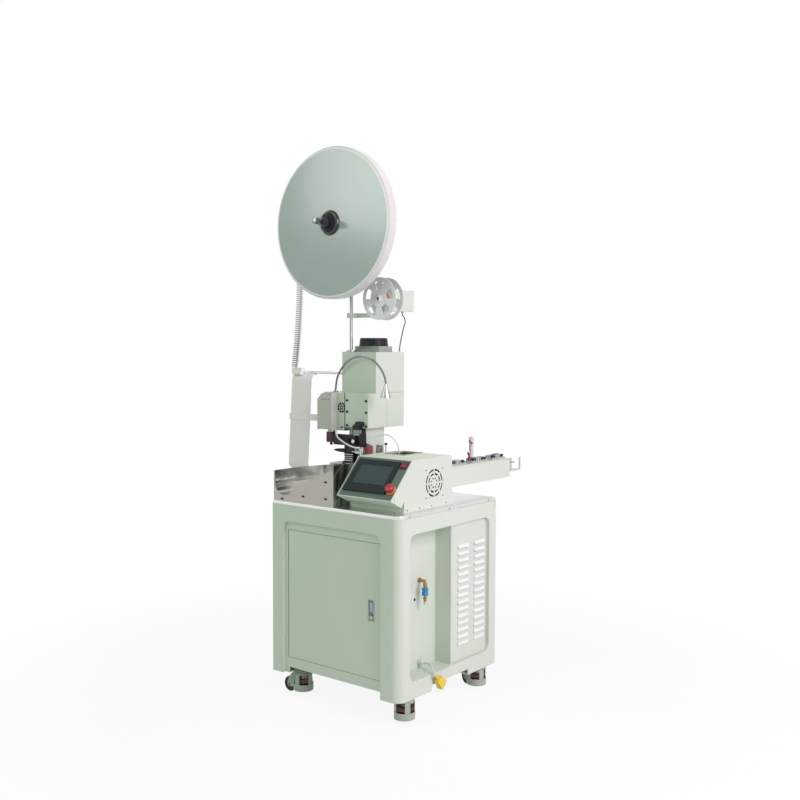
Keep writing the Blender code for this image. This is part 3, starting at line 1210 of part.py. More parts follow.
def make_applicator():
    """The crimp applicator: base, guide head, feed arm, its ram, the feed finger and the cutter."""
    base = BED_TOP + GAP
    plate_top = base + PLATE_TOP_RISE
    x0, x1, y0, y1 = GUIDE
    adds = [box(*BASE_BLOCK, base, plate_top),
            box(x0, x1, y0, y1, GUIDE_BOTTOM, GUIDE_TOP),
            box(*SLIDE_BLOCK),
            box(*BACK_BLOCK[:4], plate_top - 0.001, BACK_BLOCK[4]),
            box(*SIDE_BLOCK[:4], plate_top - 0.001, SIDE_BLOCK[4]),
            box(*FEED_CYLINDER),
            rounded_block(*END_BLOCK, 0.004),
            box(*END_NECK),
            box(*CLAMP_BLOCK),
            box(*COUNTER_BLOCK),
            disc(END_PIN, 0.006, "z", END_BLOCK[4] - 0.012, END_BLOCK[4] + 0.001, 12),
            disc(DIAL_CENTRE, 0.0075, "y", -0.092, -0.084, 16),
            disc(ANVIL_CENTRE, 0.010, "z", plate_top - 0.001, plate_top + ANVIL_RISE, 16),
            disc(FINGER_PIVOT, 0.003, "y", FINGER_FRONT - 0.002, -0.085, 12)]
    rx0, rx1, ry0, ry1 = APP_RAM
    channel = box(rx0, rx1, ry0, ry1, GUIDE_BOTTOM - 0.001, GUIDE_TOP + 0.001)
    add("applicator_frame", shape([shape(adds[:1] + adds[2:]), shape([adds[1]])], [channel]), black())
    ram = [box(rx0 + GAP, rx1 - GAP, ry0 + GAP, ry1 - GAP, APP_RAM_BOTTOM, RAM_BOTTOM - GAP),
           box(*PUNCH, PUNCH_BOTTOM, APP_RAM_BOTTOM + 0.001)]
    add("applicator_ram", shape(ram), steel(), "ram")
    px, pz = FINGER_PIVOT
    tip = px - FINGER_LENGTH
    outline = arc((px, pz), 0.008, -70.0, 70.0, 6) + [(px - 0.018, pz + 0.0080), (tip + 0.014, pz + 0.0055),
                                                     (tip, pz + 0.0005), (tip + 0.014, pz - 0.0045),
                                                     (px - 0.018, pz - 0.0070)]
    finger = shape([prism(outline, "y", FINGER_FRONT, FINGER_BACK)],
                   [disc(FINGER_PIVOT, 0.003 + PIN_CLEARANCE, "y", FINGER_FRONT - 0.01, FINGER_BACK + 0.01,
                         12)])
    pivot("finger", (px, FINGER_FRONT, pz))
    add("feed_finger", finger, black(), "finger")
    low = plate_top + GAP
    left, right, front, back, top = CUTTER
    block = box(left, right, front, back, low, top)
    fins = [box(left - 0.01, right + 0.01, front - 0.004, front + 0.0035, z,
                z + 0.004) for z in CUTTER_GROOVES]
    screws = [disc((x, z), 0.0025, "y", front - 0.0015, front + 0.005, 8)
              for x in CUTTER_SCREWS_X for z in CUTTER_SCREWS_Z]
    add("cutter_block", shape([shape([block], fins), *screws]), grey())


def make_feed_unit():
    """The wire feed column between press and console, its valve block and the transfer arm."""
    x0, x1, y0, y1 = FEED
    column = rounded_block(x0, x1, y0, y1, ON_TABLE, FEED_TOP, 0.004)
    low = FEED_TOP - 0.001
    muffler = turned([(0.0, low), (MUFFLER_RADIUS, low), (MUFFLER_RADIUS, MUFFLER_TOP - 0.002),
                      (MUFFLER_RADIUS - 0.0015, MUFFLER_TOP), (0.0, MUFFLER_TOP)], "z", MUFFLER_CENTRE, 16)
    knob = turned([(0.0, low), (0.0025, low), (0.0025, KNOB_TOP - 0.009), (0.0045, KNOB_TOP - 0.008),
                   (0.0045, KNOB_TOP - 0.001), (0.0, KNOB_TOP)], "z", KNOB_CENTRE, 10)
    add("feed_unit", shape([column, muffler, knob]), mint())
    block = box(*VALVE_BLOCK, FEED_TOP + GAP, VALVE_TOP)
    add("valve_block", block, red())
    ax, ay = ARM_PIVOT
    low = FEED_TOP + GAP
    post = turned([(0.0, low), (ARM_RADIUS, low), (ARM_RADIUS, low + 0.029),
                   (ARM_RADIUS - 0.001, low + 0.030),
                   (0.0, low + 0.030)], "z", ARM_PIVOT, 20)
    arm = box(ax - ARM_REACH, ax, ay - 0.005, ay + 0.005, low + 0.010, low + 0.018)
    nozzle = rod((ax - ARM_REACH + 0.004, ay, low + 0.014), (ax - NOZZLE_REACH, ay, low + 0.014), 0.004, 12,
                 0.0028)
    pivot("arm", (ax, ay, low))
    add("transfer_arm", shape([post, arm, nozzle]), steel(), "arm")


def make_lamp():
    """The flexible lamp: its neck as a plain tube, its socket and the cone head."""
    x, y = LAMP_PLACE
    top = LAMP_TOP
    bends = [(a, b, HEAD_TOP + rise) for a, b, rise in NECK_BENDS]
    points = [(*LAMP_FOOT, HEAD_TOP + GAP), (*LAMP_FOOT, HEAD_TOP + 0.008), *bends, (x, y, top + 0.0078),
              (x, y, top + GAP)]
    add_cord("lamp_neck", points, NECK_RADIUS, 2, steel())
    profile = [(0.0, top), (0.0055, top), (0.0065, top - 0.008), (0.0195, top - 0.050),
               (0.0205, top - 0.056),
               (0.0185, top - 0.056), (0.0175, top - 0.053), (0.0, top - 0.053)]
    add("lamp_head", turned(profile, "z", (x, y), 24), grey())


def make_reel():
    """The pole with its axle, and the guarded terminal reel that turns on it."""
    pole = turned([(0.0, HOUSING_TOP + GAP), (0.020, HOUSING_TOP + GAP), (0.020, HOUSING_TOP + 0.006),
                   (POLE_RADIUS, HOUSING_TOP + 0.008), (POLE_RADIUS, REEL_Z + 0.010), (0.0, REEL_Z + 0.010)],
                  "z", (POLE_X, POLE_Y), 16)
    collar = disc((POLE_X, REEL_Z), 0.012, "y", POLE_Y - 0.014, POLE_Y + 0.012, 16)
    axle = disc((POLE_X, REEL_Z), REEL_BORE - GAP, "y", AXLE_END, POLE_Y, 16)
    stop = disc((POLE_X, REEL_Z), 0.014, "y", COIL_BACK + 0.0103, COIL_BACK + 0.016, 16)
    cap = disc((POLE_X, REEL_Z), 0.013, "y", AXLE_END + 0.006, AXLE_END + 0.018, 16)
    seat = shape([pole, collar, axle, stop, cap],
                 [box(POLE_X - 0.04, POLE_X + 0.04, HOUSING_FRONT - 0.03, HOUSING_FRONT + 0.0015,
                      HOUSING_TOP, HOUSING_TOP + 0.03)])
    add("reel_pole", seat, steel())
    front = REEL_FRONT
    inner = front + REEL_WALL
    rim_back = front + REEL_RIM_DEPTH
    outer = REEL_RADIUS
    hub_back = COIL_BACK + 0.010
    profile = [(REEL_BORE, front - 0.060), (0.016, front - 0.060), (0.022, front - 0.020),
               (0.046, front - 0.010), (0.050, front), (outer - 0.008, front), (outer, front + 0.007),
               (outer, rim_back), (outer - REEL_WALL, rim_back), (outer - REEL_WALL, inner + 0.004),
               (outer - REEL_WALL - 0.005, inner), (0.050, inner), (0.050, rim_back),
               (COIL_RADIUS, rim_back), (COIL_RADIUS, COIL_BACK), (0.050, COIL_BACK), (0.050, hub_back),
               (REEL_BORE, hub_back)]
    pivot("reel", (POLE_X, front, REEL_Z))
    add("terminal_reel", turned(profile, "y", (POLE_X, REEL_Z), 48), grey(), "reel")


def make_strip():
    """The carrier strip of terminals, hanging from the coil to the guide plate."""
    start = POLE_X - COIL_RADIUS - GAP - STRIP_THICKNESS
    drop = [(start, REEL_Z, 0)] + [(start + x, GUIDE_CAP_TOP + z, 0) for x, z in STRIP_DROP]
    path = smooth_path(drop, 0.03)
    outline = ribbon([(p.x, p.y) for p in path], STRIP_THICKNESS)
    middle = COIL_BACK - 0.012
    add("terminal_strip", prism(outline, "y", middle - STRIP_WIDTH / 2, middle + STRIP_WIDTH / 2), steel())


def make_guide_plate():
    """The hanging guide sheet with its cap block, stay rod and flat bracket."""
    front = GUIDE_PLATE_FRONT
    left = GUIDE_PLATE_LEFT
    right = left + GUIDE_PLATE_WIDTH
    top = GUIDE_PLATE_TOP
    bottom = GUIDE_PLATE_BOTTOM
    path = [(front + 0.034, top - 0.004)] + arc((front + 0.026, top - 0.026), 0.026, 90.0, 180.0, 6)
    path += arc((front + 0.022, bottom + 0.030), 0.022, 180.0, 232.0, 4) + [(front + 0.034, bottom - 0.004)]
    sheet = prism(ribbon(path, 0.002), "x", left, right)
    lean = Matrix.Identity(4)
    lean[0][2] = GUIDE_PLATE_LEAN
    lean[0][3] = -GUIDE_PLATE_LEAN * top
    sheet = moved(sheet, lean)
    cap = box(left + 0.002, left + 0.054, -0.079, -0.0552, top - 0.004, GUIDE_CAP_TOP)
    screw_z = GUIDE_CAP_TOP - 0.0115
    screws = []
    for x in (left + 0.014, left + 0.038):
        screws.append(rod((x, -0.0780, screw_z), (x, -0.0825, screw_z), 0.003, 8))
    rod_z = top + 0.007
    stay = rod((left + 0.045, -0.064, rod_z), (HOUSING_LEFT - 0.0035, 0.018, rod_z - 0.004), 0.0055, 12)
    flange = disc((0.018, rod_z - 0.004), 0.012, "x", HOUSING_LEFT - 0.005, HOUSING_LEFT - GAP, 16)
    bar_left = left - 0.014
    bar_right = BOX_COVER[0] - GAP
    bar_low = BOX_BOTTOM + 0.035
    bar_high = BOX_BOTTOM + 0.0615
    bar = box(bar_left, bar_right, front - 0.0035, front + 0.0005, bar_low, bar_high)
    lug = box(bar_right - 0.003, bar_right, front - 0.0035, front + 0.010, bar_low, bar_high)
    add("guide_plate", shape([sheet, cap, *screws, stay, flange, bar, lug]), grey())


def make_takeup():
    """The paper take-up: clamp, bar, drive box with spindle, and its windowed spool."""
    x0, x1, y0, y1, z0, z1 = DRIVE
    bar_y = POLE_Y + POLE_RADIUS + 0.014
    clamp = shape([box(POLE_X - 0.013, POLE_X + 0.013, POLE_Y - 0.013, bar_y + 0.006, CLAMP_BOTTOM,
                       CLAMP_BOTTOM + 0.020)],
                  [disc((POLE_X, POLE_Y), POLE_RADIUS + GAP, "z", CLAMP_BOTTOM - 0.016, CLAMP_BOTTOM + 0.024,
                        16)])
    bar = box(POLE_X, x1, bar_y, bar_y + 0.006, CLAMP_BOTTOM + 0.001, CLAMP_BOTTOM + 0.019)
    riser = box(x0, x1, bar_y, bar_y + 0.006, CLAMP_BOTTOM + 0.001, z0 + 0.050)
    case = rounded_block(x0, x1, bar_y + 0.003, y1, z0, z1, 0.003)
    spindle = disc((TAKEUP_X, TAKEUP_Z), TAKEUP_SPINDLE, "y", TAKEUP_FRONT - 0.008, y0 + 0.01, 12)
    boss = disc((TAKEUP_X, TAKEUP_Z), 0.010, "y", TAKEUP_BACK + 0.0003, y0, 16)
    nipple = disc(DRIVE_NIPPLE, 0.005, "z", z0 - 0.008, z0 + 0.001, 12)
    add("takeup_drive", shape([clamp, bar, riser, case, spindle, boss, nipple]), mint())
    flange = 0.002
    bore = TAKEUP_SPINDLE + GAP
    profile = [(bore, TAKEUP_FRONT), (TAKEUP_RADIUS, TAKEUP_FRONT), (TAKEUP_RADIUS, TAKEUP_FRONT + flange),
               (TAKEUP_CORE, TAKEUP_FRONT + flange), (TAKEUP_CORE, TAKEUP_BACK - flange),
               (TAKEUP_RADIUS, TAKEUP_BACK - flange), (TAKEUP_RADIUS, TAKEUP_BACK), (bore, TAKEUP_BACK)]
    spool = turned(profile, "y", (TAKEUP_X, TAKEUP_Z), 32)
    windows = []
    for i in range(SPOOL_WINDOWS):
        angle = 90.0 + i * 360.0 / SPOOL_WINDOWS
        outline = ring_sector((TAKEUP_X, TAKEUP_Z), *WINDOW_RING, angle - WINDOW_HALF_ANGLE,
                              angle + WINDOW_HALF_ANGLE, 2)
        windows.append(prism(outline, "y", TAKEUP_FRONT - 0.01, TAKEUP_BACK + 0.01))
    pivot("takeup", (TAKEUP_X, TAKEUP_FRONT, TAKEUP_Z))
    add("takeup_spool", shape([spool], windows), grey(), "takeup")
    cable = [(*DRIVE_NIPPLE, z0 - 0.0083), (*DRIVE_NIPPLE, z0 - 0.013), (-0.024, 0.150, z0 - 0.026),
             (-0.020, 0.150, z0 - 0.043), (-0.031, 0.150, z0 - 0.073), (-0.044, 0.150, z0 - 0.123),
             (*GROMMET, HOUSING_TOP + 0.012), (*GROMMET, HOUSING_TOP + 0.0033)]
    add_cord("takeup_cable", cable, 0.0022, 2, dark_plastic())


def make_straightener():
    """The wire straightener arm behind the console: beam, roller banks, clamps and end pulley."""
    x0, x1, y0, y1 = BEAM
    hollow = box(x0 + BEAM_WALL, x1 - BEAM_WALL, y0 + FLANGE, y1 + 0.01, BEAM_BOTTOM - 0.01,
                 BEAM_TOP - BEAM_WALL)
    beam = shape([box(x0, x1, y0, y1, BEAM_BOTTOM, BEAM_TOP)], [hollow])
    flange = box(x0 - FLANGE_MARGIN, x1, y0, y0 + FLANGE, BEAM_BOTTOM - FLANGE_MARGIN,
                 BEAM_TOP + RAIL_HEIGHT)
    rail = box(x0 + 0.004, x1 - 0.004, y0 + 0.014, y1 - 0.012, BEAM_TOP - 0.001, BEAM_TOP + RAIL_HEIGHT)
    shelf = BEAM_TOP - BRACKET_DROP
    end = y1 + BRACKET_LENGTH
    bracket = shape([box(x0 + 0.006, x1, y1 - 0.002, end, shelf, shelf + 0.004),
                     box(x1 - BEAM_WALL, x1, end - 0.010, end, shelf + 0.002, BEAM_TOP + 0.004),
                     box(x0 + 0.006, x0 + 0.012, y1 - 0.004, end, shelf, BEAM_TOP - 0.004)])
    adds = [beam, flange, rail, bracket]
    axle = (y1 + PULLEY_BEHIND, BEAM_TOP - PULLEY_DROP)
    adds.append(disc(axle, 0.003, "x", x0 + 0.010, x1 - 0.012, 10))
    add("straightener_beam", shape(adds), mint())
    top = BEAM_TOP + RAIL_HEIGHT + GAP
    ears = [make_lever(number + 1, y0 + reach, top) for number, reach in enumerate(LEVERS)] + [[]]
    for number, (reach, count) in enumerate(BANKS):
        make_roller_bank("roller_bank_" + str(number + 1), y0 + reach, count, top, number == 1, ears[number])
    outer = PULLEY_RADIUS
    grooved = [(PULLEY_BORE, 0.0), (outer, 0.0), (outer - 0.0005, 0.002), (outer - 0.0025, 0.003),
               (outer - 0.0005, 0.004), (outer, 0.006), (PULLEY_BORE, 0.006)]
    low = x0 + 0.0125
    pivot("pulley", (low, axle[0], axle[1]))
    add("end_pulley", turned([(r, low + a) for r, a in grooved], "x", axle, 16), grey(), "pulley")


def make_roller_bank(name, start, count, low, tall, ears):
    """A clamp block with two rows of straightening rollers on it."""
    x0, x1 = BEAM[0] + 0.006, BEAM[1] - 0.006
    length = ROLLER_PITCH * count + 0.010
    first = start + ROLLER_INSET
    seat = low + BANK_PLATE - 0.001
    adds = [box(x0, x1, start, start + length, low, low + BANK_PLATE), *ears]
    for i in range(count):
        y = first + i * ROLLER_PITCH - 0.002
        for x, shift in ((x0 + ROLLER_INSET, 0.0), (x1 - ROLLER_INSET, ROLLER_PITCH / 2)):
            profile = [(0.0, seat), (ROLLER_RADIUS, seat), (ROLLER_RADIUS, low + ROLLER_TOP),
                       (0.0030, low + ROLLER_TOP + 0.0005), (0.0, low + ROLLER_TOP + 0.0035)]
            adds.append(turned(profile, "z", (x, y + shift), 10))
    if tall:
        head = low + POST_TOP
        post = [(0.0, seat), (POST_RADIUS, seat), (POST_RADIUS - 0.001, seat + 0.025),
                (POST_RADIUS - 0.001, head - 0.026), (POST_RADIUS, head - 0.025),
                (POST_RADIUS, head - 0.004), (0.0, head)]
        adds.append(turned(post, "z", (x0 + 0.022, first + 0.009), 12))
    add(name, shape(adds), steel())


def make_lever(number, y, low):
    """A red cam lever that clamps a roller bank; gives back the shapes of its bracket."""
    x1 = BEAM[1] - 0.008
    name = "clamp_lever_" + str(number)
    z = low + LEVER_AXIS
    pivot(name, (x1, y, z))
    cam = disc((y, z), CAM_RADIUS, "x", x1 - 0.010, x1, 14)
    handle = rod((x1 - 0.005, y, z), (x1 - 0.005, y - 0.012, z + LEVER_LENGTH * 0.8), 0.0032, 10, 0.0042)
    bore = disc((y, z), LEVER_PIN + PIN_CLEARANCE, "x", x1 - 0.02, x1 + 0.01, 10)
    add(name, shape([cam, handle], [bore]), red(), name)
    ear = x1 - 0.0140
    return [box(ear, x1 - 0.0103, y - CAM_RADIUS, y + CAM_RADIUS, low, z + 0.003),
            box(ear, x1 + 0.001, y - CAM_RADIUS, y + 0.016, low, low + 0.004),
            disc((y, z), LEVER_PIN, "x", x1 - 0.011, x1 + 0.001, 10)]


def make_air_inlet():
    """The brass elbow with its coupler in the niche, and the blue slide valve on it."""
    wall = SIDE_FACE - NICHE_DEPTH
    bend_z = AIR_TOP - 0.006
    pipe = (AIR_Y + 0.008, AIR_TOP)
    stem = disc(pipe, ELBOW_PIPE, "x", wall + GAP, wall + 0.030, 12)
    nut = disc(pipe, ELBOW_NUT, "x", wall + GAP, wall + 0.006, 6)
    elbow = rod((wall + 0.028, AIR_Y + 0.007, AIR_TOP), (AIR_X, AIR_Y, bend_z - 0.008), 0.0070, 12)
    ball = turned([(0.0, bend_z - 0.013), (0.0070, bend_z - 0.013), (0.0070, bend_z - 0.002),
                   (0.004, bend_z + 0.002), (0.0, bend_z + 0.003)], "z", (AIR_X, AIR_Y), 12)
    tube = turned([(radius, AIR_TOP + z) for radius, z in COUPLER_PROFILE], "z", (AIR_X, AIR_Y), 12)
    add("air_inlet", shape([stem, nut, elbow, ball, tube]), material("brass", (0.55, 0.35, 0.12), 0.35, 1.0))
    low = AIR_TOP + SLIDE_BOTTOM
    bore = COUPLER_RADIUS + GAP
    profile = [(bore, low)] + [(radius, low + z) for radius, z in SLIDE_PROFILE]
    profile.append((bore, profile[-1][1]))
    sleeve = turned(profile, "z", (AIR_X, AIR_Y), 16)
    pivot("air_slide", (AIR_X, AIR_Y, low))
    add("air_valve_sleeve", sleeve, material("blue_plastic", (0.02, 0.25, 0.55), 0.4), "air_slide")


def make_tubes():
    """The two plastic tubes that the machine holds at both ends."""
    low = BOX_BOTTOM
    thick = [(BOX_COVER[1] + GAP, -0.0780, low + 0.0055), (BOX_COVER[1] + 0.005, -0.0780, low + 0.0055),
             (-0.1965, -0.0810, low), (-0.1905, -0.0860, low - 0.0080), (-0.1830, -0.0920, low - 0.0170),
             (-0.1700, -0.0975, low - 0.0265), (-0.1420, -0.1045, low - 0.0380),
             (-0.112, -0.1115, low - 0.0475), (-0.085, -0.1130, low - 0.0555),
             (-0.066, -0.1105, low - 0.0590),
             (-0.057, -0.1030, low - 0.0595), (-0.057, -0.0990, low - 0.0595)]
    add_cord("wire_tube", thick, WIRE_TUBE_RADIUS, 2, material("white_plastic", (0.85, 0.85, 0.83), 0.4))
    hatch_x = (HATCH[0] + HATCH[1]) / 2 - 0.020
    top = VALVE_TOP
    thin = [(-0.0300, -0.0660, top + GAP), (-0.0298, -0.0655, top + 0.006), (-0.0240, -0.0560, top + 0.022),
            (-0.010, -0.046, top + 0.036), (0.016, -0.038, top + 0.045), (0.048, -0.032, top + 0.042),
            (0.076, -0.030, top + 0.020), (0.089, -0.029, top - 0.004), (hatch_x, -0.028, top - 0.032),
            (hatch_x, -0.028, top - 0.059)]
    add_cord("air_tube", thin, AIR_TUBE_RADIUS, 2, material("white_plastic", (0.85, 0.85, 0.83), 0.4))


def make_power_cord():
    """The short mains lead from the gland and the yellow plug on its end."""
    wall = SIDE_FACE - NICHE_DEPTH
    start = wall + 0.0243
    gland_y, gland_z = GLAND
    down = Vector((0.0, PLUG_LEAN, -math.sqrt(1.0 - PLUG_LEAN * PLUG_LEAN)))
    neck = Vector((SIDE_FACE + 0.0185, -0.1180, 0.1600))
    points = [(start, gland_y, gland_z), (start + 0.004, gland_y, gland_z),
              (start + 0.012, gland_y - 0.0010, gland_z + 0.0010),
              (start + 0.024, gland_y - 0.004, gland_z + 0.0025), (start + 0.037, gland_y - 0.011,
                                                                   gland_z + 0.002),
              (start + 0.050, gland_y - 0.020, gland_z - 0.0005), (start + 0.062, gland_y - 0.029,
                                                                   gland_z - 0.006),
              (start + 0.072, gland_y - 0.0345, gland_z - 0.0125), tuple(neck - down * 0.008), tuple(neck)]
    add_cord("power_cord", points, CORD_RADIUS, 3, material("grey_cable", (0.55, 0.56, 0.55), 0.5))
    across = down.cross(Vector((1.0, 0.0, 0.0))).normalized()
    frame = Matrix((Vector((1.0, 0.0, 0.0)), across, down)).transposed().to_4x4()
    frame.translation = neck + down * GAP
    if frame.determinant() < 0:
        frame = frame @ Matrix.Scale(-1.0, 4, (0, 1, 0))
    relief = turned([(0.0, 0.0), (0.0050, 0.0), (0.0080, 0.018), (0.0, 0.018)], "z", (0, 0), 12)
    outline = [(-0.0125, 0.014), (0.0125, 0.014), (0.0160, 0.027), (0.0165, 0.038), (0.0200, 0.049),
               (0.0200, 0.060), (-0.0200, 0.060), (-0.0200, 0.049), (-0.0165, 0.038), (-0.0160, 0.027)]
    grip = prism([(b, a) for b, a in outline], "x", -0.0110, 0.0110)
    blades = [box(-0.0030, 0.0030, y - 0.0008, y + 0.0008, 0.059, 0.078) for y in (-0.0064, 0.0064)]
    plug = shape([relief, grip, *blades])
    add("power_plug", moved(plug, frame), material("yellow_plastic", (0.75, 0.60, 0.08), 0.45))


def stand_on_origin():
    """Moves the root empty so that the machine's box, less its cord, stands on the origin."""
    bpy.context.view_layer.update()
    graph = bpy.context.evaluated_depsgraph_get()
    low = Vector((1e9, 1e9, 1e9))
    high = -low
    for item in bpy.context.scene.objects:
        if item.type == "EMPTY" or item.name in CORD_PIECES:
            continue
        made = item.evaluated_get(graph)
        mesh = made.to_mesh()
        for vertex in mesh.vertices:
            place = item.matrix_world @ vertex.co
            low = Vector(map(min, low, place))
            high = Vector(map(max, high, place))
        made.to_mesh_clear()
    PIVOTS["root"][0].location = (-(low.x + high.x) / 2, -(low.y + high.y) / 2, -low.z)
    bpy.context.view_layer.update()


def main():
    clear_scene()
    pivot("root", (0.0, 0.0, 0.0))
    make_cabinet()
    make_table()
    make_louvre_panel()
    make_door()
    make_electrics()
    for castor in castor_places():
        make_castor(*castor)
    make_console()
    make_tray()
    make_press()
    make_wire_box()
    make_applicator()
    make_feed_unit()
    make_lamp()
    make_reel()
    make_strip()
    make_guide_plate()
    make_takeup()
    make_straightener()
    make_air_inlet()
    make_tubes()
    make_power_cord()
    stand_on_origin()


main()
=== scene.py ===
"""The looks of a terminal crimping machine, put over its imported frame.

Metres, +Z up, -Y towards the operator. Places are counted from the cabinet's own middle line,
which lies at MIDDLE in the frame, and heights from the floor.
"""
import math
from functools import cache

import bmesh
import bpy
from bpy.props import FloatProperty, FloatVectorProperty, PointerProperty
from mathutils import Matrix, Vector


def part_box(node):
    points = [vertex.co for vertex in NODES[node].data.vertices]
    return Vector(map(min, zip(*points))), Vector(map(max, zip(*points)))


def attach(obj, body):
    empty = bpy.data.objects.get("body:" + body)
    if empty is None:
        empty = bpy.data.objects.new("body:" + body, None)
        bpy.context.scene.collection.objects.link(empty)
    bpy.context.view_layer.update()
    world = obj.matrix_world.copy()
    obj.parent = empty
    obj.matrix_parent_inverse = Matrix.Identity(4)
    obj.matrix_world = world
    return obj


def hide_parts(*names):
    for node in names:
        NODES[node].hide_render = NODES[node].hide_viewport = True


bl_info = {
    "name": "Terminal crimping machine",
    "version": (1, 0, 0),
    "blender": (4, 5, 0),
    "location": "3D View > Sidebar > Crimping machine",
    "description": "Finishes, trim, lead and stage for the packed crimping machine",
    "category": "Object",
}

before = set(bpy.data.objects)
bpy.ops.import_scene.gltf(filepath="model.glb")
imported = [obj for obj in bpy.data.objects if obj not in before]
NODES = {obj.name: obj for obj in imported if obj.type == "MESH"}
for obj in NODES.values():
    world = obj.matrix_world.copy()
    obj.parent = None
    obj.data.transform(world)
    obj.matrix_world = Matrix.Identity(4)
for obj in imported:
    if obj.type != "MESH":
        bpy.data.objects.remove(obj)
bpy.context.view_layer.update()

# Directions
RIGHT = Vector((1.0, 0.0, 0.0))
FRONT = Vector((0.0, -1.0, 0.0))
TOP = Vector((0.0, 0.0, 1.0))

# Places shared with the frame
MIDDLE = Vector((0.0830, -0.1415, 0.0))
ON_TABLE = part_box("press_frame")[0].z
TABLE_LOW, TABLE_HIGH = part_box("table_plate")
DOOR_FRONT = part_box("door")[0].y
LEG_TOP = 0.0999
GLAND_AT = (-0.085, 0.187)
WIRE_BOX_LOW, WIRE_BOX_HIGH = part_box("wire_box")
FACE_PLATE_LOW, FACE_PLATE_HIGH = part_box("press_face_plate")
FACE_PLATE_FRONT = FACE_PLATE_LOW.y + 0.0035
HEAD_TOP = FACE_PLATE_HIGH.z
MOTOR_FOOT_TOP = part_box("press_motor")[0].z + 0.0233
FEED_TOP = 0.965
MUFFLER_AT = (-0.004, -0.034)
BEAM_LOW, BEAM_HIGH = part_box("straightener_beam")
MODULE_PLATE = 0.230

# The console: its slanted face counts from its lower left corner, to the right, up and out
CONSOLE_LOW, CONSOLE_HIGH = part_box("console_housing")
CONSOLE_ROOF = CONSOLE_HIGH.z - 0.003
SLANT_FOOT = Vector((CONSOLE_LOW.x, CONSOLE_LOW.y, ON_TABLE + 0.053))
SLANT_UP = Vector((0.0, 0.129, 0.139)).normalized()
SLANT_OUT = RIGHT.cross(SLANT_UP)
SLANT_WIDTH = 0.262
SLANT_LENGTH = 0.1896
SLANT_RIM = 0.004
SCREEN_PROUD = 0.004
GLASS = (0.0416, 0.064, 0.154, 0.086)
SWITCH_AT = (0.236, 0.163)
SWITCH_HALF = 0.0152
STOP_AT = (0.237, 0.048)
COLLAR_RADIUS = 0.0207
FAN_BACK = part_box("fan_rotor")[0].x - 0.0022
FAN_AT = (MIDDLE.y - 0.057, 0.8816)
FAN_SCREW = 0.0525

# The louvre panel and the catch tray
LOUVRES_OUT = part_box("louvre_panel")[1].x - 0.006
LOUVRE_FOOT = 0.227
LOUVRE_PITCH = 0.0275
LOUVRE_ROWS = 15
LOUVRE_START = MIDDLE.y + 0.066
LOUVRE_COLUMN = 0.112
LOUVRE_LENGTH = 0.071
TRAY_SHEET_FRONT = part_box("tray_trough")[0].y + 0.0015
TRAY_FRONT = MIDDLE.y - 0.309
TRAY_SLOTS = ((-0.045, 0.0935), (-0.164, 0.028), (-0.045, 0.029), (-0.278, 0.0085))

# Reel, spool and castors
REEL_LOW, REEL_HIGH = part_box("terminal_reel")
REEL_CENTRE = Vector(((REEL_LOW.x + REEL_HIGH.x) / 2, 0.0, (REEL_LOW.z + REEL_HIGH.z) / 2))
REEL_RADIUS = (REEL_HIGH.x - REEL_LOW.x) / 2
REEL_FRONT = -0.125 + MIDDLE.y
SPOOL_LOW, SPOOL_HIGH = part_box("takeup_spool")
SPOOL_CENTRE = Vector(((SPOOL_LOW.x + SPOOL_HIGH.x) / 2, 0.0, (SPOOL_LOW.z + SPOOL_HIGH.z) / 2))
CASTORS = {1: (-0.1470, -0.3795), 2: (0.3640, -0.3725), 3: (0.3570, 0.1165), 4: (-0.1570, 0.1085)}
THUMBWHEEL = (0.0519, 0.0661)

# What finishes share
ALONG_Z = (30.0, 30.0, 1.0)
EVEN = (1.0, 1.0, 1.0)
WHITE = (1.0, 1.0, 1.0)
DULL = {"Specular IOR Level": 0.2}


def place(x, y, z):
    """A point counted from the cabinet's middle line, in the frame."""
    return MIDDLE + Vector((x, y, z))


def linked(name, data):
    """A new object in the scene."""
    item = bpy.data.objects.new(name, data)
    bpy.context.scene.collection.objects.link(item)
    return item


class Value:
    """One number, vector or colour on its way through a material."""

    def __init__(self, nodes, socket):
        self.nodes = nodes
        self.socket = socket

    def math(self, operation, *others):
        return self.nodes.node("Math", {"operation": operation}, dict(enumerate((self, *others))))

    def __add__(self, other):
        return self.math("ADD", other)

    def __mul__(self, other):
        return self.math("MULTIPLY", other)

    __radd__ = __add__
    __rmul__ = __mul__

    def __sub__(self, other):
        return self.math("SUBTRACT", other)

    def __rsub__(self, other):
        return self.math("MULTIPLY_ADD", -1.0, other)

    def __abs__(self):
        return self.math("ABSOLUTE")

    def above(self, limit):
        return self.math("GREATER_THAN", limit)

    def below(self, limit):
        return self.math("LESS_THAN", limit)

    def within(self, low, high):
        return self.above(low) * self.below(high)

    def near(self, centre, reach):
        return abs(self - centre).below(reach)

    def clamped(self):
        return self.math("MAXIMUM", 0.0).math("MINIMUM", 1.0)

    def wave(self, pitch):
        """A sine that comes round once in each pitch."""
        return (self * (math.tau / pitch)).math("SINE")

    def share(self, start, pitch):
        """How far through its pitch the value is, from 0 to 1."""
        return ((self - start) * (1.0 / pitch)).math("FRACT")


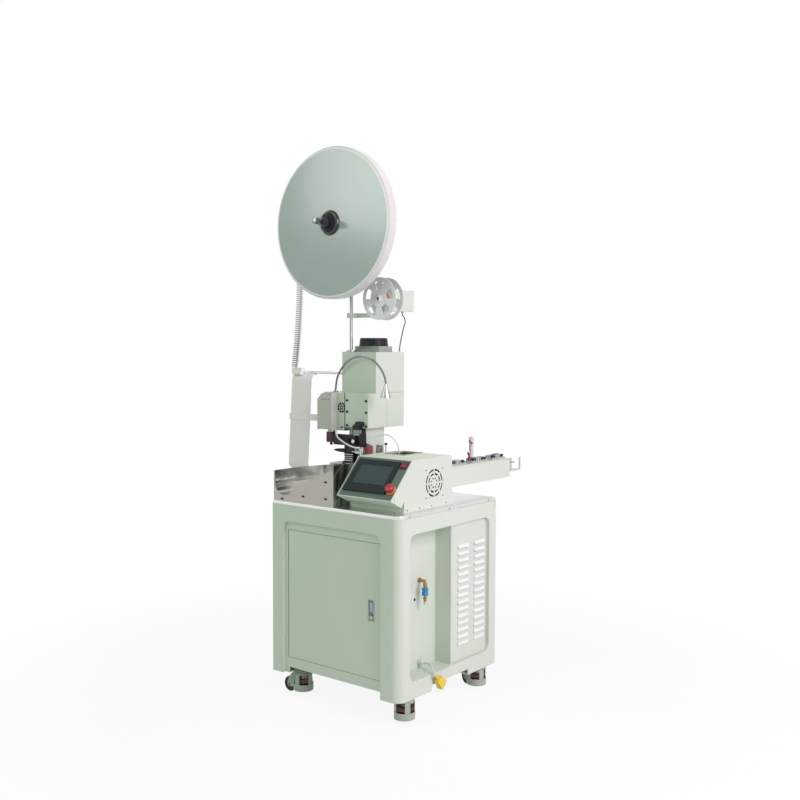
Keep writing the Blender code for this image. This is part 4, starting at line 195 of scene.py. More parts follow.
class Nodes:
    """A shader tree that expressions add to."""

    def __init__(self, tree):
        self.tree = tree

    def put(self, socket, value):
        """A link, a colour or a number into a socket."""
        if isinstance(value, Value):
            self.tree.links.new(value.socket, socket)
        elif socket.type == "RGBA":
            socket.default_value = (*value[:3], 1.0)
        else:
            socket.default_value = value

    def node(self, kind, settings=None, values=None, output=0):
        """Any node: its settings first, then the values or links of its sockets."""
        node = self.tree.nodes.new("ShaderNode" + kind)
        for key, value in (settings or {}).items():
            setattr(node, key, value)
        for key, value in (values or {}).items():
            self.put(node.inputs[key], value)
        return Value(self, node.outputs[output])

    def seen(self):
        """One for rays of the camera, of reflections and through clear surfaces."""
        camera, glossy, clear = [self.node("LightPath", output="Is " + kind + " Ray")
                                 for kind in ("Camera", "Glossy", "Transmission")]
        return camera.math("MAXIMUM", glossy).math("MAXIMUM", clear)


class Finish(Nodes):
    """A material built round one Principled shader, from patterns on Object coordinates."""

    def __init__(self, name, colour, roughness, metallic=0.0):
        self.material = bpy.data.materials.new(name)
        self.material.use_nodes = True
        super().__init__(self.material.node_tree)
        self.shader = self.tree.nodes["Principled BSDF"]
        self.colour = colour
        self.roughness = roughness
        self.metallic = metallic
        self.normal = None

    def fixed(self, values):
        """Numbers on the shader's own sockets."""
        for key, value in values.items():
            self.put(self.shader.inputs[key], value)
        return self

    def point(self):
        return self.node("TexCoord", output="Object")

    def part(self, axis):
        """One coordinate of the surface point, in the frame."""
        return self.node("SeparateXYZ", None, {0: self.point()}, axis)

    def zone(self, left=None, right=None, front=None, rear=None, low=None, high=None):
        """One between these sides, counted from the middle line and the floor; the rest is open."""
        tests = []
        for axis, (start, end) in enumerate(((left, right), (front, rear), (low, high))):
            if start is not None:
                tests.append(self.part(axis).above(MIDDLE[axis] + start))
            if end is not None:
                tests.append(self.part(axis).below(MIDDLE[axis] + end))
        return math.prod(tests[1:], start=tests[0])

    def vector(self, operation, one, two=EVEN, output=0):
        return self.node("VectorMath", {"operation": operation}, {0: one, 1: two}, output)

    def along(self, origin, direction):
        """How far the surface point lies from an origin along a direction."""
        return self.vector("DOT_PRODUCT", self.vector("SUBTRACT", self.point(), origin), direction, "Value")

    def radius(self, centre, axis):
        """The distance from a line through a centre along one main axis."""
        flat = Vector(EVEN)
        flat["XYZ".index(axis)] = 0.0
        offset = self.vector("SUBTRACT", self.point(), centre)
        return self.vector("LENGTH", self.vector("MULTIPLY", offset, flat), output="Value")

    def noise(self, scale, detail=2.0, stretch=EVEN):
        """Cloudy noise from 0 to 1, stretched by the given factors."""
        mapped = self.node("Mapping", None, {"Vector": self.point(), "Scale": stretch})
        return self.node("TexNoise", None, {"Vector": mapped, "Scale": scale, "Detail": detail})

    def mix(self, factor, one, two, blend="MIX"):
        return self.node("Mix", {"data_type": "RGBA", "blend_type": blend}, {0: factor, 6: one, 7: two}, 2)

    def over(self, mask, colour, roughness, metallic=0.0):
        """Another finish where the mask is one."""
        self.colour = self.mix(mask, self.colour, colour)
        self.roughness = mask * (roughness - self.roughness) + self.roughness
        self.metallic = mask * (metallic - self.metallic) + self.metallic
        return self

    def shade(self, factor):
        """The colour made lighter or darker by a changing factor."""
        black_white = self.node("CombineColor", None, {0: factor, 1: factor, 2: factor})
        self.colour = self.mix(1.0, self.colour, black_white, "MULTIPLY")
        return self

    def bump(self, height, distance, strength):
        """Small relief over the eased edges."""
        self.normal = self.node("Bump", None, {"Height": height, "Distance": distance, "Strength": strength,
                                               "Normal": self.normal})
        return self

    def eased(self, radius):
        """Sharp edges look rounded by this radius."""
        self.normal = self.node("Bevel", {"samples": 4}, {"Radius": radius})
        return self

    def done(self):
        """The material, with what was built so far on its shader."""
        for socket, value in (("Base Color", self.colour), ("Roughness", self.roughness),
                              ("Metallic", self.metallic), ("Normal", self.normal)):
            if value is not None:
                self.put(self.shader.inputs[socket], value)
        return self.material


def paint(name, colour):
    """A powder coat with fine orange peel and faint clouds."""
    finish = Finish(name, colour, 0.42)
    finish.shade(finish.noise(3.0) * 0.05 + 0.975)
    finish.eased(0.0012)
    return finish.bump(finish.noise(700.0, 1.0), 0.0002, 0.10)


def brushed(name, colour, roughness, direction=(1.0, 40.0, 40.0), depth=0.12):
    """Metal with fine grinding lines along the axis whose factor is smallest."""
    finish = Finish(name, colour, roughness, 1.0)
    lines = finish.noise(45.0, 3.0, direction)
    finish.roughness = lines * 0.22 + (roughness - 0.11)
    finish.shade(lines * 0.16 + 0.92)
    finish.eased(0.0005)
    return finish.bump(lines, 0.0002, depth)


def plastic(name, colour, roughness):
    """Moulded plastic with a fine grain."""
    finish = Finish(name, colour, roughness)
    finish.shade(finish.noise(6.0) * 0.08 + 0.96)
    finish.eased(0.0006)
    return finish.bump(finish.noise(900.0, 1.0), 0.0001, 0.12)


def blackened(name):
    """Oil-blackened steel, worn a little brighter in patches."""
    finish = Finish(name, (0.016, 0.016, 0.019), 0.42, 0.55)
    wear = finish.noise(55.0, 4.0)
    finish.shade(wear * 0.9 + 0.6)
    finish.roughness = wear * 0.25 + 0.28
    finish.eased(0.0005)
    return finish.bump(finish.noise(500.0, 2.0), 0.0001, 0.2)


def dress(look, *names):
    """Gives CAD nodes their finish."""
    for name in names:
        data = NODES[name].data
        data.materials.clear()
        data.materials.append(look.done())


def lathe(bm, profile, base, direction, steps, ring):
    """A turned shape from (radius, distance along) pairs; a ring's profile is a closed loop."""
    turn = direction.to_track_quat("Z", "Y").to_matrix()
    rows = []
    for radius, along in profile:
        angles = [math.tau * i / steps for i in range(steps if radius else 1)]
        rows.append([bm.verts.new(base + turn @ Vector((radius * math.cos(a), radius * math.sin(a), along)))
                     for a in angles])
    pairs = list(zip(rows, rows[1:]))
    if ring:
        pairs.append((rows[-1], rows[0]))
    for low, high in pairs:
        for i in range(steps):
            j = (i + 1) % steps
            corners = []
            for vert in (low[i % len(low)], low[j % len(low)], high[j % len(high)], high[i % len(high)]):
                if vert not in corners:
                    corners.append(vert)
            if len(corners) > 2:
                bm.faces.new(corners)


def plate(outline, front, back):
    """A flat plate from its outline in x and z, between two distances from the middle line."""
    bm = bmesh.new()
    rows = [[bm.verts.new(place(x, y, z)) for x, z in outline] for y in (front, back)]
    bm.faces.new(rows[0])
    bm.faces.new(list(reversed(rows[1])))
    for i in range(len(outline)):
        j = (i + 1) % len(outline)
        bm.faces.new((rows[0][i], rows[1][i], rows[1][j], rows[0][j]))
    return bm


def blocks(corners, ease=0.0, matrix=None):
    """Blocks between pairs of corners, their edges eased."""
    bm = bmesh.new()
    for low, high in corners:
        made = bmesh.ops.create_cube(bm, size=1.0)["verts"]
        bmesh.ops.scale(bm, vec=Vector(high) - Vector(low), verts=made)
        bmesh.ops.translate(bm, vec=(Vector(high) + Vector(low)) / 2, verts=made)
        if ease:
            edges = list({e for v in made for e in v.link_edges})
            bmesh.ops.bevel(bm, geom=edges, offset=ease, segments=2, affect="EDGES")
    if matrix is not None:
        bm.transform(matrix)
    return bm


def tubes(runs, sides=10):
    """Round tubes from (points, radius) pairs, closed at both ends."""
    bm = bmesh.new()
    for points, radius in runs:
        rows = []
        side = Vector((0.0, 1.0, 0.0))
        for i, point in enumerate(points):
            ahead = (points[min(i + 1, len(points) - 1)] - points[max(i - 1, 0)]).normalized()
            side = (side - ahead * side.dot(ahead)).normalized()
            other = ahead.cross(side)
            rows.append([bm.verts.new(point + (side * math.cos(math.tau * k / sides)
                                               + other * math.sin(math.tau * k / sides)) * radius)
                         for k in range(sides)])
        for low, high in zip(rows, rows[1:]):
            for k in range(sides):
                bm.faces.new((low[k], low[(k + 1) % sides], high[(k + 1) % sides], high[k]))
        bm.faces.new(list(reversed(rows[0])))
        bm.faces.new(rows[-1])
    return bm


def smooth_path(points, step):
    """Points read from a smooth curve through the given ones, about one step apart."""
    points = [Vector(p) for p in points]
    path = [points[0] * 2 - points[1]] + points + [points[-1] * 2 - points[-2]]
    result = []
    for before, one, two, after in zip(path, path[1:], path[2:], path[3:]):
        count = max(1, round((two - one).length / step))
        for j in range(count):
            t = j / count
            result.append(0.5 * (2 * one + (two - before) * t
                                 + (2 * before - 5 * one + 4 * two - after) * t * t
                                 + (3 * one - before - 3 * two + after) * t ** 3))
    result.append(points[-1])
    return result


def mesh_of(name, bm):
    """A mesh from a bmesh, its faces pointing out."""
    data = bpy.data.meshes.new(name)
    bmesh.ops.recalc_face_normals(bm, faces=bm.faces[:])
    bm.to_mesh(data)
    bm.free()
    return data


def piece(name, shape, look, body="machine", smooth=35.0):
    """A finished piece from a bmesh or a mesh; it rides on a body."""
    data = mesh_of(name, shape) if isinstance(shape, bmesh.types.BMesh) else shape
    data.materials.clear()
    data.materials.append(look.done())
    data.shade_smooth()
    data.set_sharp_from_angle(angle=math.radians(smooth))
    item = linked(name, data)
    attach(item, body)
    return item


def turned(name, profile, bases, direction, look, steps=24, ring=False, body="machine", smooth=35.0):
    """A piece with one turned shape on each base."""
    bm = bmesh.new()
    for base in bases:
        lathe(bm, profile, base, direction, steps, ring)
    return piece(name, bm, look, body, smooth)


class Tree:
    """A Geometry Nodes tree with named inputs, the last of them its material."""

    def __init__(self, name, **inputs):
        inputs["finish"] = "Material"
        self.group = bpy.data.node_groups.new(name, "GeometryNodeTree")
        self.group.is_modifier = True
        face = self.group.interface
        face.new_socket("Geometry", in_out="INPUT", socket_type="NodeSocketGeometry")
        self.keys = {}
        for key, kind in inputs.items():
            socket = face.new_socket(key.capitalize(), in_out="INPUT", socket_type="NodeSocket" + kind)
            self.keys[key] = socket.identifier
        face.new_socket("Geometry", in_out="OUTPUT", socket_type="NodeSocketGeometry")
        self.source = self.group.nodes.new("NodeGroupInput")
        self.names = ["geometry", *inputs]

    def given(self, key):
        return self.source.outputs[self.names.index(key)]

    def node(self, kind, settings=None, values=None):
        node = self.group.nodes.new(kind)
        for key, value in (settings or {}).items():
            setattr(node, key, value)
        for key, value in (values or {}).items():
            if isinstance(value, bpy.types.NodeSocket):
                self.group.links.new(value, node.inputs[key])
            else:
                node.inputs[key].default_value = value
        return node.outputs

    def math(self, operation, one, two):
        return self.node("ShaderNodeMath", {"operation": operation}, {0: one, 1: two})[0]

    def turn(self, axis, values, settings=None):
        """A rotation that points an axis along a vector."""
        return self.node("FunctionNodeAlignRotationToVector", {"axis": axis, **(settings or {})}, values)[0]

    def part(self):
        """The shape of the small object that the tree copies."""
        return self.node("GeometryNodeObjectInfo", None, {"Object": self.given("part")})["Geometry"]

    def copies(self, points, shape, rotation):
        """A copy of the shape on each point, made real, with its material; this ends the tree."""
        spots = self.node("GeometryNodeInstanceOnPoints", None,
                          {"Points": points, "Instance": shape, "Rotation": rotation})[0]
        real = self.node("GeometryNodeRealizeInstances", None, {0: spots})[0]
        dressed = self.node("GeometryNodeSetMaterial", None,
                            {"Geometry": real, "Material": self.given("finish")})[0]
        end = self.group.nodes.new("NodeGroupOutput")
        self.group.links.new(dressed, end.inputs[0])
        return self

    def run(self, name, base, look, body="machine", part=None, matrix=None, **values):
        """The tree's result as a plain piece on a body; part is the shape that it copies."""
        values["finish"] = look.done()
        if part is not None:
            values["part"] = linked(name + "_part", mesh_of(name + "_part", part))
        carrier = linked(name + "_carrier", base)
        modifier = carrier.modifiers.new(self.group.name, "NODES")
        modifier.node_group = self.group
        for key, value in values.items():
            modifier[self.keys[key]] = value
        made = carrier.evaluated_get(bpy.context.evaluated_depsgraph_get())
        data = bpy.data.meshes.new_from_object(made)
        bpy.data.objects.remove(carrier)
        if part is not None:
            bpy.data.objects.remove(values["part"])
        if matrix is not None:
            data.transform(matrix)
        data.name = name
        return piece(name, data, look, body)


@cache
def heads_tree():
    """Socket heads on points: each stands along its point's facing."""
    tree = Tree("Screw heads", radius="Float", height="Float", sides="Int", socket="Float")
    height = tree.given("height")
    head = tree.node("GeometryNodeMeshCylinder", None,
                     {"Vertices": tree.given("sides"), "Radius": tree.given("radius"), "Depth": height})
    mesh, top = head["Mesh"], head["Top"]
    for rise, share in ((0.15, 0.88), (0.0, tree.given("socket")), (-0.45, 0.98)):
        step = tree.math("MULTIPLY", height, rise)
        grown = tree.node("GeometryNodeExtrudeMesh", {"mode": "FACES"},
                          {"Mesh": mesh, "Selection": top, "Offset Scale": step})
        top = grown["Top"]
        mesh = tree.node("GeometryNodeScaleElements", None,
                         {"Geometry": grown["Mesh"], "Selection": top, "Scale": share})[0]
    facing = tree.node("GeometryNodeInputNamedAttribute", {"data_type": "FLOAT_VECTOR"},
                       {"Name": "facing"})[0]
    return tree.copies(tree.given("geometry"), mesh, tree.turn("Z", {"Vector": facing}))


@cache
def row_tree():
    """Copies of a small part along a path, upright to it and level along Y."""
    tree = Tree("Copies along a path", part="Object", pitch="Float")
    points = tree.node("GeometryNodeCurveToPoints", {"mode": "LENGTH"},
                       {"Curve": tree.given("geometry"), "Length": tree.given("pitch")})
    upright = tree.turn("Z", {"Vector": points["Tangent"]})
    level = tree.turn("Y", {"Rotation": upright, "Vector": (0.0, 1.0, 0.0)}, {"pivot_axis": "Z"})
    return tree.copies(points["Points"], tree.part(), level)


@cache
def round_tree():
    """Copies of a small part in a circle, each facing outwards along its own X."""
    tree = Tree("Copies round an axis", part="Object", count="Int", radius="Float")
    points = tree.node("GeometryNodeMeshCircle", None,
                       {"Vertices": tree.given("count"), "Radius": tree.given("radius")})[0]
    share = tree.math("DIVIDE", tree.node("GeometryNodeInputIndex")[0], tree.given("count"))
    turn = tree.node("ShaderNodeCombineXYZ", None, {"Z": tree.math("MULTIPLY", share, math.tau)})[0]
    return tree.copies(points, tree.part(), turn)


def path_curve(name, points):
    """A poly curve through points, for a tree to walk along."""
    curve = bpy.data.curves.new(name, "CURVE")
    curve.dimensions = "3D"
    spline = curve.splines.new("POLY")
    spline.points.add(len(points) - 1)
    for spot, point in zip(spline.points, points):
        spot.co = (*point, 1.0)
    return curve


def screws(name, points, facing, look, radius, height, sides=12, body="machine"):
    """Screw heads that stand on points and face one way."""
    base = bpy.data.meshes.new(name + "_spots")
    base.from_pydata([tuple(point + facing * height * 0.5) for point in points], [], [])
    attribute = base.attributes.new("facing", "FLOAT_VECTOR", "POINT")
    for item in attribute.data:
        item.vector = facing
    return heads_tree().run(name, base, look, body, radius=radius, height=height, sides=sides, socket=0.5)


def settings():
    return bpy.context.scene.crimping_machine


COLOUR = {"subtype": "COLOR", "size": 3, "min": 0.0, "max": 1.0}
LENGTH = {"unit": "LENGTH", "min": 0.001}


class PaintValues(bpy.types.PropertyGroup):
    """Colours of the painted parts."""

    mint: FloatVectorProperty(name="Mint", description="The powder coat of the sheet parts",
                              default=(0.60, 0.69, 0.58), **COLOUR)
    grey: FloatVectorProperty(name="Grey", description="The greyer paint of the guide plate",
                              default=(0.84, 0.84, 0.82), **COLOUR)
    panel: FloatVectorProperty(name="Panel", description="The sunk field of the console",
                               default=(0.098, 0.145, 0.120), **COLOUR)
    reel: FloatVectorProperty(name="Reel", description="The glossy disc of the terminal reel",
                              default=(0.375, 0.455, 0.43), **COLOUR)


class StageValues(bpy.types.PropertyGroup):
    """Camera and light."""

    lens: FloatProperty(name="Lens", description="Focal length on a 36 mm sensor, in millimetres",
                        default=45.405, min=10.0)
    key: FloatProperty(name="Key light", description="Power of the light on the right side, in watts",
                       default=158.0, min=0.0)
    fill: FloatProperty(name="Fill light", description="Power of the light on the front, in watts",
                        default=35.0, min=0.0)
    glare: FloatProperty(name="Glare light", description="Power of the light seen in the reel, in watts",
                         default=10.0, min=0.0)
    around: FloatProperty(name="Surroundings", description="Strength of the even light from all sides",
                          default=0.27, min=0.0)


class StripValues(bpy.types.PropertyGroup):
    """The strip of terminals."""

    pitch: FloatProperty(name="Pitch", description="Distance from one terminal to the next",
                         default=0.0078, **LENGTH)
    width: FloatProperty(name="Terminal length", description="How long one terminal is across the strip",
                         default=0.038, **LENGTH)


class LampValues(bpy.types.PropertyGroup):
    """The flexible neck."""

    pitch: FloatProperty(name="Ring pitch", description="Distance between the turns of the neck",
                         default=0.0040, **LENGTH)


class LeadValues(bpy.types.PropertyGroup):
    """The mains lead."""

    radius: FloatProperty(name="Radius", description="Radius of the lead's sheath", default=0.0034, **LENGTH)
    colour: FloatVectorProperty(name="Sheath", description="Colour of the lead's sheath",
                                default=(0.62, 0.63, 0.61), **COLOUR)


class MachineValues(bpy.types.PropertyGroup):
    """Everything that a user may change."""

    paint: PointerProperty(type=PaintValues)
    stage: PointerProperty(type=StageValues)
    strip: PointerProperty(type=StripValues)
    lamp: PointerProperty(type=LampValues)
    lead: PointerProperty(type=LeadValues)


def area_light(name, spot, target, size, power, colour=WHITE):
    """A soft square lamp at a spot, turned to a target."""
    light = bpy.data.lights.new(name, "AREA")
    light.shape = "SQUARE"
    light.size = size
    light.energy = power
    light.color = colour
    item = linked(name, light)
    item.location = spot
    item.rotation_euler = (Vector(target) - Vector(spot)).to_track_quat("-Z", "Y").to_euler()


def white_world(strength):
    """An even light, seen as plain white by the camera and in reflections."""
    world = bpy.data.worlds.new("studio")
    world.use_nodes = True
    nodes = Nodes(world.node_tree)
    level = nodes.node("MapRange", None, {"Value": nodes.seen(), "To Min": strength, "To Max": 1.0}, "Result")
    background = world.node_tree.nodes["Background"]
    nodes.put(background.inputs["Strength"], level)
    nodes.put(background.inputs["Color"], WHITE)
    bpy.context.scene.world = world


def floor_look():
    """A pale floor that glows white, a little less so close to the machine."""
    look = Finish("floor_white", (0.86, 0.86, 0.86), 0.7)
    glow = look.node("Emission", None, {"Color": WHITE, "Strength": 1.0})
    fade = ((look.radius(MIDDLE, "Z") - 1.1) * 0.9).clamped()
    base = Value(look, look.shader.outputs[0])
    blend = look.node("MixShader", None, {0: look.seen() * (fade * 0.10 + 0.90), 1: base, 2: glow})
    look.put(look.tree.nodes["Material Output"].inputs["Surface"], blend)
    return look


class CRIMP_OT_stage(bpy.types.Operator):
    """Camera at the photograph's angle, soft lamps, white surroundings and a pale floor"""

    bl_idname = "crimp.stage"
    bl_label = "Stage"

    def execute(self, context):
        values = settings().stage
        scene = context.scene
        scene.view_settings.view_transform = "Standard"
        camera = bpy.data.cameras.new("camera")
        camera.lens = values.lens
        camera.sensor_width = 36.0
        viewer = linked("camera", camera)
        viewer.location = (2.633, -3.2825, 1.410)
        viewer.rotation_euler = [math.radians(angle) for angle in (90.0 - 3.177, -0.207, 38.282)]
        scene.camera = viewer
        white_world(values.around)
        area_light("key", (4.2, -0.6, 2.7), (0.0, 0.0, 1.1), 2.6, values.key, (1.0, 0.86, 0.985))
        area_light("fill", (-1.5, -3.9, 3.3), (0.0, 0.0, 1.6), 2.6, values.fill, (0.68, 1.0, 0.64))
        area_light("top", (0.6, 0.6, 4.6), (0.0, 0.0, 1.0), 2.6, values.fill)
        area_light("glare", (-2.53, -3.28, 2.69), (0.05, -0.27, 2.05), 0.8, values.glare)
        bm = bmesh.new()
        bmesh.ops.create_circle(bm, cap_ends=True, segments=64, radius=14.0)
        data = bpy.data.meshes.new("floor")
        bm.to_mesh(data)
        bm.free()
        data.materials.append(floor_look().done())
        floor = linked("floor", data)
        return {"FINISHED"}


class CRIMP_OT_lead(bpy.types.Operator):
    """The short mains lead from its gland to the yellow plug"""

    bl_idname = "crimp.lead"
    bl_label = "Mains lead"

    def execute(self, context):
        values = settings().lead
        gland_end = 0.2603
        start = Vector((gland_end, *GLAND_AT))
        lean = 0.685
        plug_length = 0.0593
        down = Vector((0.0, lean, -math.sqrt(1.0 - lean * lean)))
        neck = Vector((0.3435, -0.1180, 0.1600))
        steps = ((0.0, 0.0, 0.0), (0.004, 0.0, 0.0), (0.012, -0.0010, 0.0010), (0.024, -0.004, 0.0025),
                 (0.037, -0.011, 0.002), (0.050, -0.020, -0.0005), (0.062, -0.029, -0.006),
                 (0.072, -0.0345, -0.0125))
        points = [start + Vector(step) for step in steps] + [neck - down * 0.008, neck]
        path = [MIDDLE + point for point in smooth_path(points, 0.004)]
        look = plastic("lead_sheath", tuple(values.colour), 0.45)
        lead = piece("mains_lead", tubes([(path, values.radius)], 16), look, "machine", 60.0)
        length = sum((b - a).length for a, b in zip(path, path[1:]))
        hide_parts("power_cord")
        values.radius * 2
        plug_face = MIDDLE + neck + down * plug_length
        yellow = plastic("plug_yellow", (0.74, 0.57, 0.05), 0.4)
        yellow.over(yellow.along(plug_face, down).above(0.0003), (0.70, 0.69, 0.66), 0.25, 1.0)
        dress(yellow, "power_plug")
        return {"FINISHED"}


def cabinet_paint(mint):
    """The mint shell with a pale gland and bare legs."""
    cabinet = paint("cabinet_paint", mint)
    gland = cabinet.radius(place(0.0, *GLAND_AT), "X").below(0.0127)
    cabinet.over(gland * cabinet.zone(left=0.2362, right=0.262), (0.66, 0.66, 0.62), 0.4)
    return cabinet.over(cabinet.zone(high=LEG_TOP), (0.10, 0.10, 0.10), 0.35, 0.9)


def louvre_paint(mint):
    """Hoods painted lighter on the mint panel as a painted highlight, each with the painted shade of its
    opening below it.
    """
    finish = paint("louvre_paint", mint)
    # Painted highlight: the hoods' proud faces are given a lighter colour.
    finish.over(finish.part(0).above(LOUVRES_OUT + 0.0004), (0.78, 0.86, 0.79), 0.35)
    up = finish.part(2).share(LOUVRE_FOOT, LOUVRE_PITCH)
    across = finish.part(1).share(LOUVRE_START, LOUVRE_COLUMN)
    # Painted shade: a darker line below each hood, where its opening is.
    shade = up.above(0.87) * across.below(LOUVRE_LENGTH / LOUVRE_COLUMN)
    rows = finish.zone(low=LOUVRE_FOOT - 0.005, high=LOUVRE_FOOT + LOUVRE_PITCH * (LOUVRE_ROWS - 1) + 0.001)
    flat = finish.part(0).within(LOUVRES_OUT - 0.0003, LOUVRES_OUT + 0.0004)
    columns = finish.part(1).above(LOUVRE_START - 0.001)
    return finish.over(shade * rows * flat * columns, (0.30, 0.34, 0.29), 0.5)


def wire_box_paint(mint):
    """A paler cover with two rings of barred vents whose openings are painted near black as painted shade, a
    seam on its right and dashes near its top.
    """
    box = paint("wire_box_paint", mint)
    dark = (0.006, 0.006, 0.007)
    cover_right = -0.2085
    cover_back = -0.0602
    inner_ring = (0.0035, 0.0100)
    outer_ring = (0.0130, 0.0212)
    dash_pitch = 0.012
    box.over(box.zone(right=cover_right, rear=cover_back), (0.50, 0.52, 0.46), 0.45)
    centre = place(-0.184, 0.0, 1.150)
    vent = box.radius(centre, "Y")
    around = (box.part(2) - centre.z).math("ARCTAN2", box.part(0) - centre.x)
    bars = abs(around.wave(math.tau / 4)).above(0.20)
    rings = vent.within(*inner_ring) + vent.within(*outer_ring)
    # Painted shade: the vent openings are painted near black inside.
    box.over(rings * bars * box.zone(front=cover_back - 0.0004, rear=-0.05), dark, 0.5)
    seam = box.part(0).above(WIRE_BOX_HIGH.x - 0.0060) * box.zone(rear=-0.058)
    box.over(seam, (0.03, 0.04, 0.03), 0.5)
    dashes = box.part(0).wave(dash_pitch).above(-0.3) * box.zone(left=-0.268, right=-0.218)
    return box.over(dashes * box.part(2).near(HEAD_TOP - 0.0285, 0.0013), dark, 0.5)


def feed_paint(mint):
    """Mint column with bare metal on its top and a black core in its muffler."""
    feed = paint("feed_paint", mint)
    feed.over(feed.zone(low=FEED_TOP + 0.0002), (0.55, 0.55, 0.54), 0.25, 1.0)
    core = feed.radius(place(*MUFFLER_AT, 0.0), "Z").below(0.0125)
    return feed.over(core * feed.zone(low=FEED_TOP + 0.0002), (0.012, 0.012, 0.013), 0.5, 0.2)


class CRIMP_OT_paint(bpy.types.Operator):
    """Powder coat on the cabinet, press, feed column, arm and take-up drive"""

    bl_idname = "crimp.paint"
    bl_label = "Painted parts"

    def execute(self, context):
        mint = tuple(settings().paint.mint)
        dress(paint("mint_paint", mint), "door", "press_housing", "press_frame")
        dress(louvre_paint(mint), "louvre_panel")
        dress(cabinet_paint(mint), "cabinet_body")
        face = paint("face_plate_paint", mint)
        face.over(face.part(1).below(FACE_PLATE_FRONT - 0.0003), (0.012, 0.012, 0.013), 0.4, 0.3)
        dress(face, "press_face_plate")
        dress(wire_box_paint(mint), "wire_box")
        motor = paint("motor_paint", (0.34, 0.38, 0.36)).fixed(DULL)
        dress(motor.over(motor.zone(low=MOTOR_FOOT_TOP), (0.010, 0.010, 0.013), 0.45), "press_motor")
        guide = paint("guide_paint", tuple(settings().paint.grey))
        stay_rod = guide.zone(front=-0.052, low=1.275)
        dress(guide.over(stay_rod, (0.62, 0.62, 0.60), 0.28, 1.0), "guide_plate")
        dress(feed_paint(mint), "feed_unit")
        beam = paint("beam_paint", mint)
        rear_bracket = beam.zone(front=0.5165)
        dress(beam.over(rear_bracket, (0.62, 0.62, 0.60), 0.35, 1.0), "straightener_beam")
        drive = paint("drive_paint", mint)
        spindle = drive.radius(SPOOL_CENTRE, "Y").below(0.0102) * drive.zone(rear=0.0338)
        dress(drive.over(spindle, (0.6, 0.6, 0.58), 0.3, 1.0), "takeup_drive")
        return {"FINISHED"}


def slant(finish):
    """How far the surface point lies to the right, up and out of the console's slanted face."""
    return [finish.along(SLANT_FOOT, direction) for direction in (RIGHT, SLANT_UP, SLANT_OUT)]


def slant_matrix(u, v, w):
    """The place of a shape that lies on the slanted face with its Z pointing out."""
    turn = Matrix((RIGHT, SLANT_UP, SLANT_OUT)).transposed().to_4x4()
    return Matrix.Translation(SLANT_FOOT + RIGHT * u + SLANT_UP * v + SLANT_OUT * w) @ turn


def console_paint(mint, panel):
    """Mint case with its dark field, switch frame, orange collar, roof hatch and a painted shade line along
    its side crease.
    """
    case = paint("console_paint", mint)
    u, v, w = slant(case)
    field = w.within(-0.0029, -0.0012) * u.within(SLANT_RIM, SLANT_WIDTH - SLANT_RIM)
    case.over(field * v.within(SLANT_RIM, SLANT_LENGTH - SLANT_RIM), panel, 0.5)
    switch = u.near(SWITCH_AT[0], SWITCH_HALF) * v.near(SWITCH_AT[1], SWITCH_HALF)
    case.over(switch * w.above(-0.0011), (0.02, 0.02, 0.022), 0.35)
    du, dv = u - STOP_AT[0], v - STOP_AT[1]
    collar = (du * du + dv * dv).below(COLLAR_RADIUS ** 2)
    case.over(collar * w.above(-0.0015), (0.50, 0.17, 0.05), 0.4)
    case.over(case.zone(low=CONSOLE_ROOF + 0.0003), (0.42, 0.36, 0.26), 0.5)
    # Painted shade: a darker line along the side crease.
    crease_shade = case.part(1).near(SLANT_FOOT.y + 0.0205, 0.0010) * case.part(0).above(CONSOLE_HIGH.x - 0.0004)
    return case.over(crease_shade * case.zone(high=SLANT_FOOT.z + 0.015), (0.30, 0.33, 0.29), 0.6)


class CRIMP_OT_console(bpy.types.Operator):
    """The console's case, screen, switch, stop button, fan and screws"""

    bl_idname = "crimp.console"
    bl_label = "Console"

    def execute(self, context):
        values = settings().paint
        dress(console_paint(tuple(values.mint), tuple(values.panel)), "console_housing")
        left, foot, wide, tall = GLASS
        screen = plastic("screen_bezel", (0.008, 0.017, 0.018), 0.38).fixed(DULL)
        u, v, w = slant(screen)
        glass = u.within(left, left + wide) * v.within(foot, foot + tall) * w.above(0.0)
        dress(screen.over(glass, (0.036, 0.068, 0.074), 0.14), "touch_screen")
        dress(plastic("rocker_red", (0.27, 0.012, 0.03), 0.28), "power_switch")
        dress(plastic("stop_red", (0.42, 0.012, 0.03), 0.25), "stop_button")
        dress(plastic("fan_black", (0.018, 0.018, 0.02), 0.45), "fan_rotor")
        turned("fan_shroud", ((0.0570, 0.0020), (0.0570, 0.0245), (0.0588, 0.0250), (0.0588, 0.0), (0.0, 0.0),
                              (0.0, 0.0010), (0.0560, 0.0010)),
               [Vector((FAN_BACK, *FAN_AT))], RIGHT, plastic("shroud_black", (0.008, 0.008, 0.009), 0.6), 40)
        rim = 0.0015
        x, y = wide / 2 + rim, tall / 2 + rim
        bars = ((-x, x, -y, rim - y), (-x, x, y - rim, y), (-x, rim - x, rim - y, y - rim),
                (x - rim, x, rim - y, y - rim))
        shape = blocks([((x0, y0, -0.0004), (x1, y1, 0.0004)) for x0, x1, y0, y1 in bars], 0.0002,
                       slant_matrix(left + wide / 2, foot + tall / 2, SCREEN_PROUD))
        edge = piece("screen_rim", shape, plastic("screen_rim", (0.03, 0.03, 0.034), 0.3))
        corners = (-FAN_SCREW, FAN_SCREW)
        spots = [(FAN_AT[0] + dy, FAN_AT[1] + dz) for dy in corners for dz in corners]
        spots += [(MIDDLE.y + y, ON_TABLE + 0.009) for y in (-0.300, -0.225, -0.150, -0.075, 0.020)]
        screws("console_screws", [Vector((CONSOLE_HIGH.x, *spot)) for spot in spots], RIGHT,
               blackened("console_screw_black"), 0.0024, 0.0014)
        return {"FINISHED"}


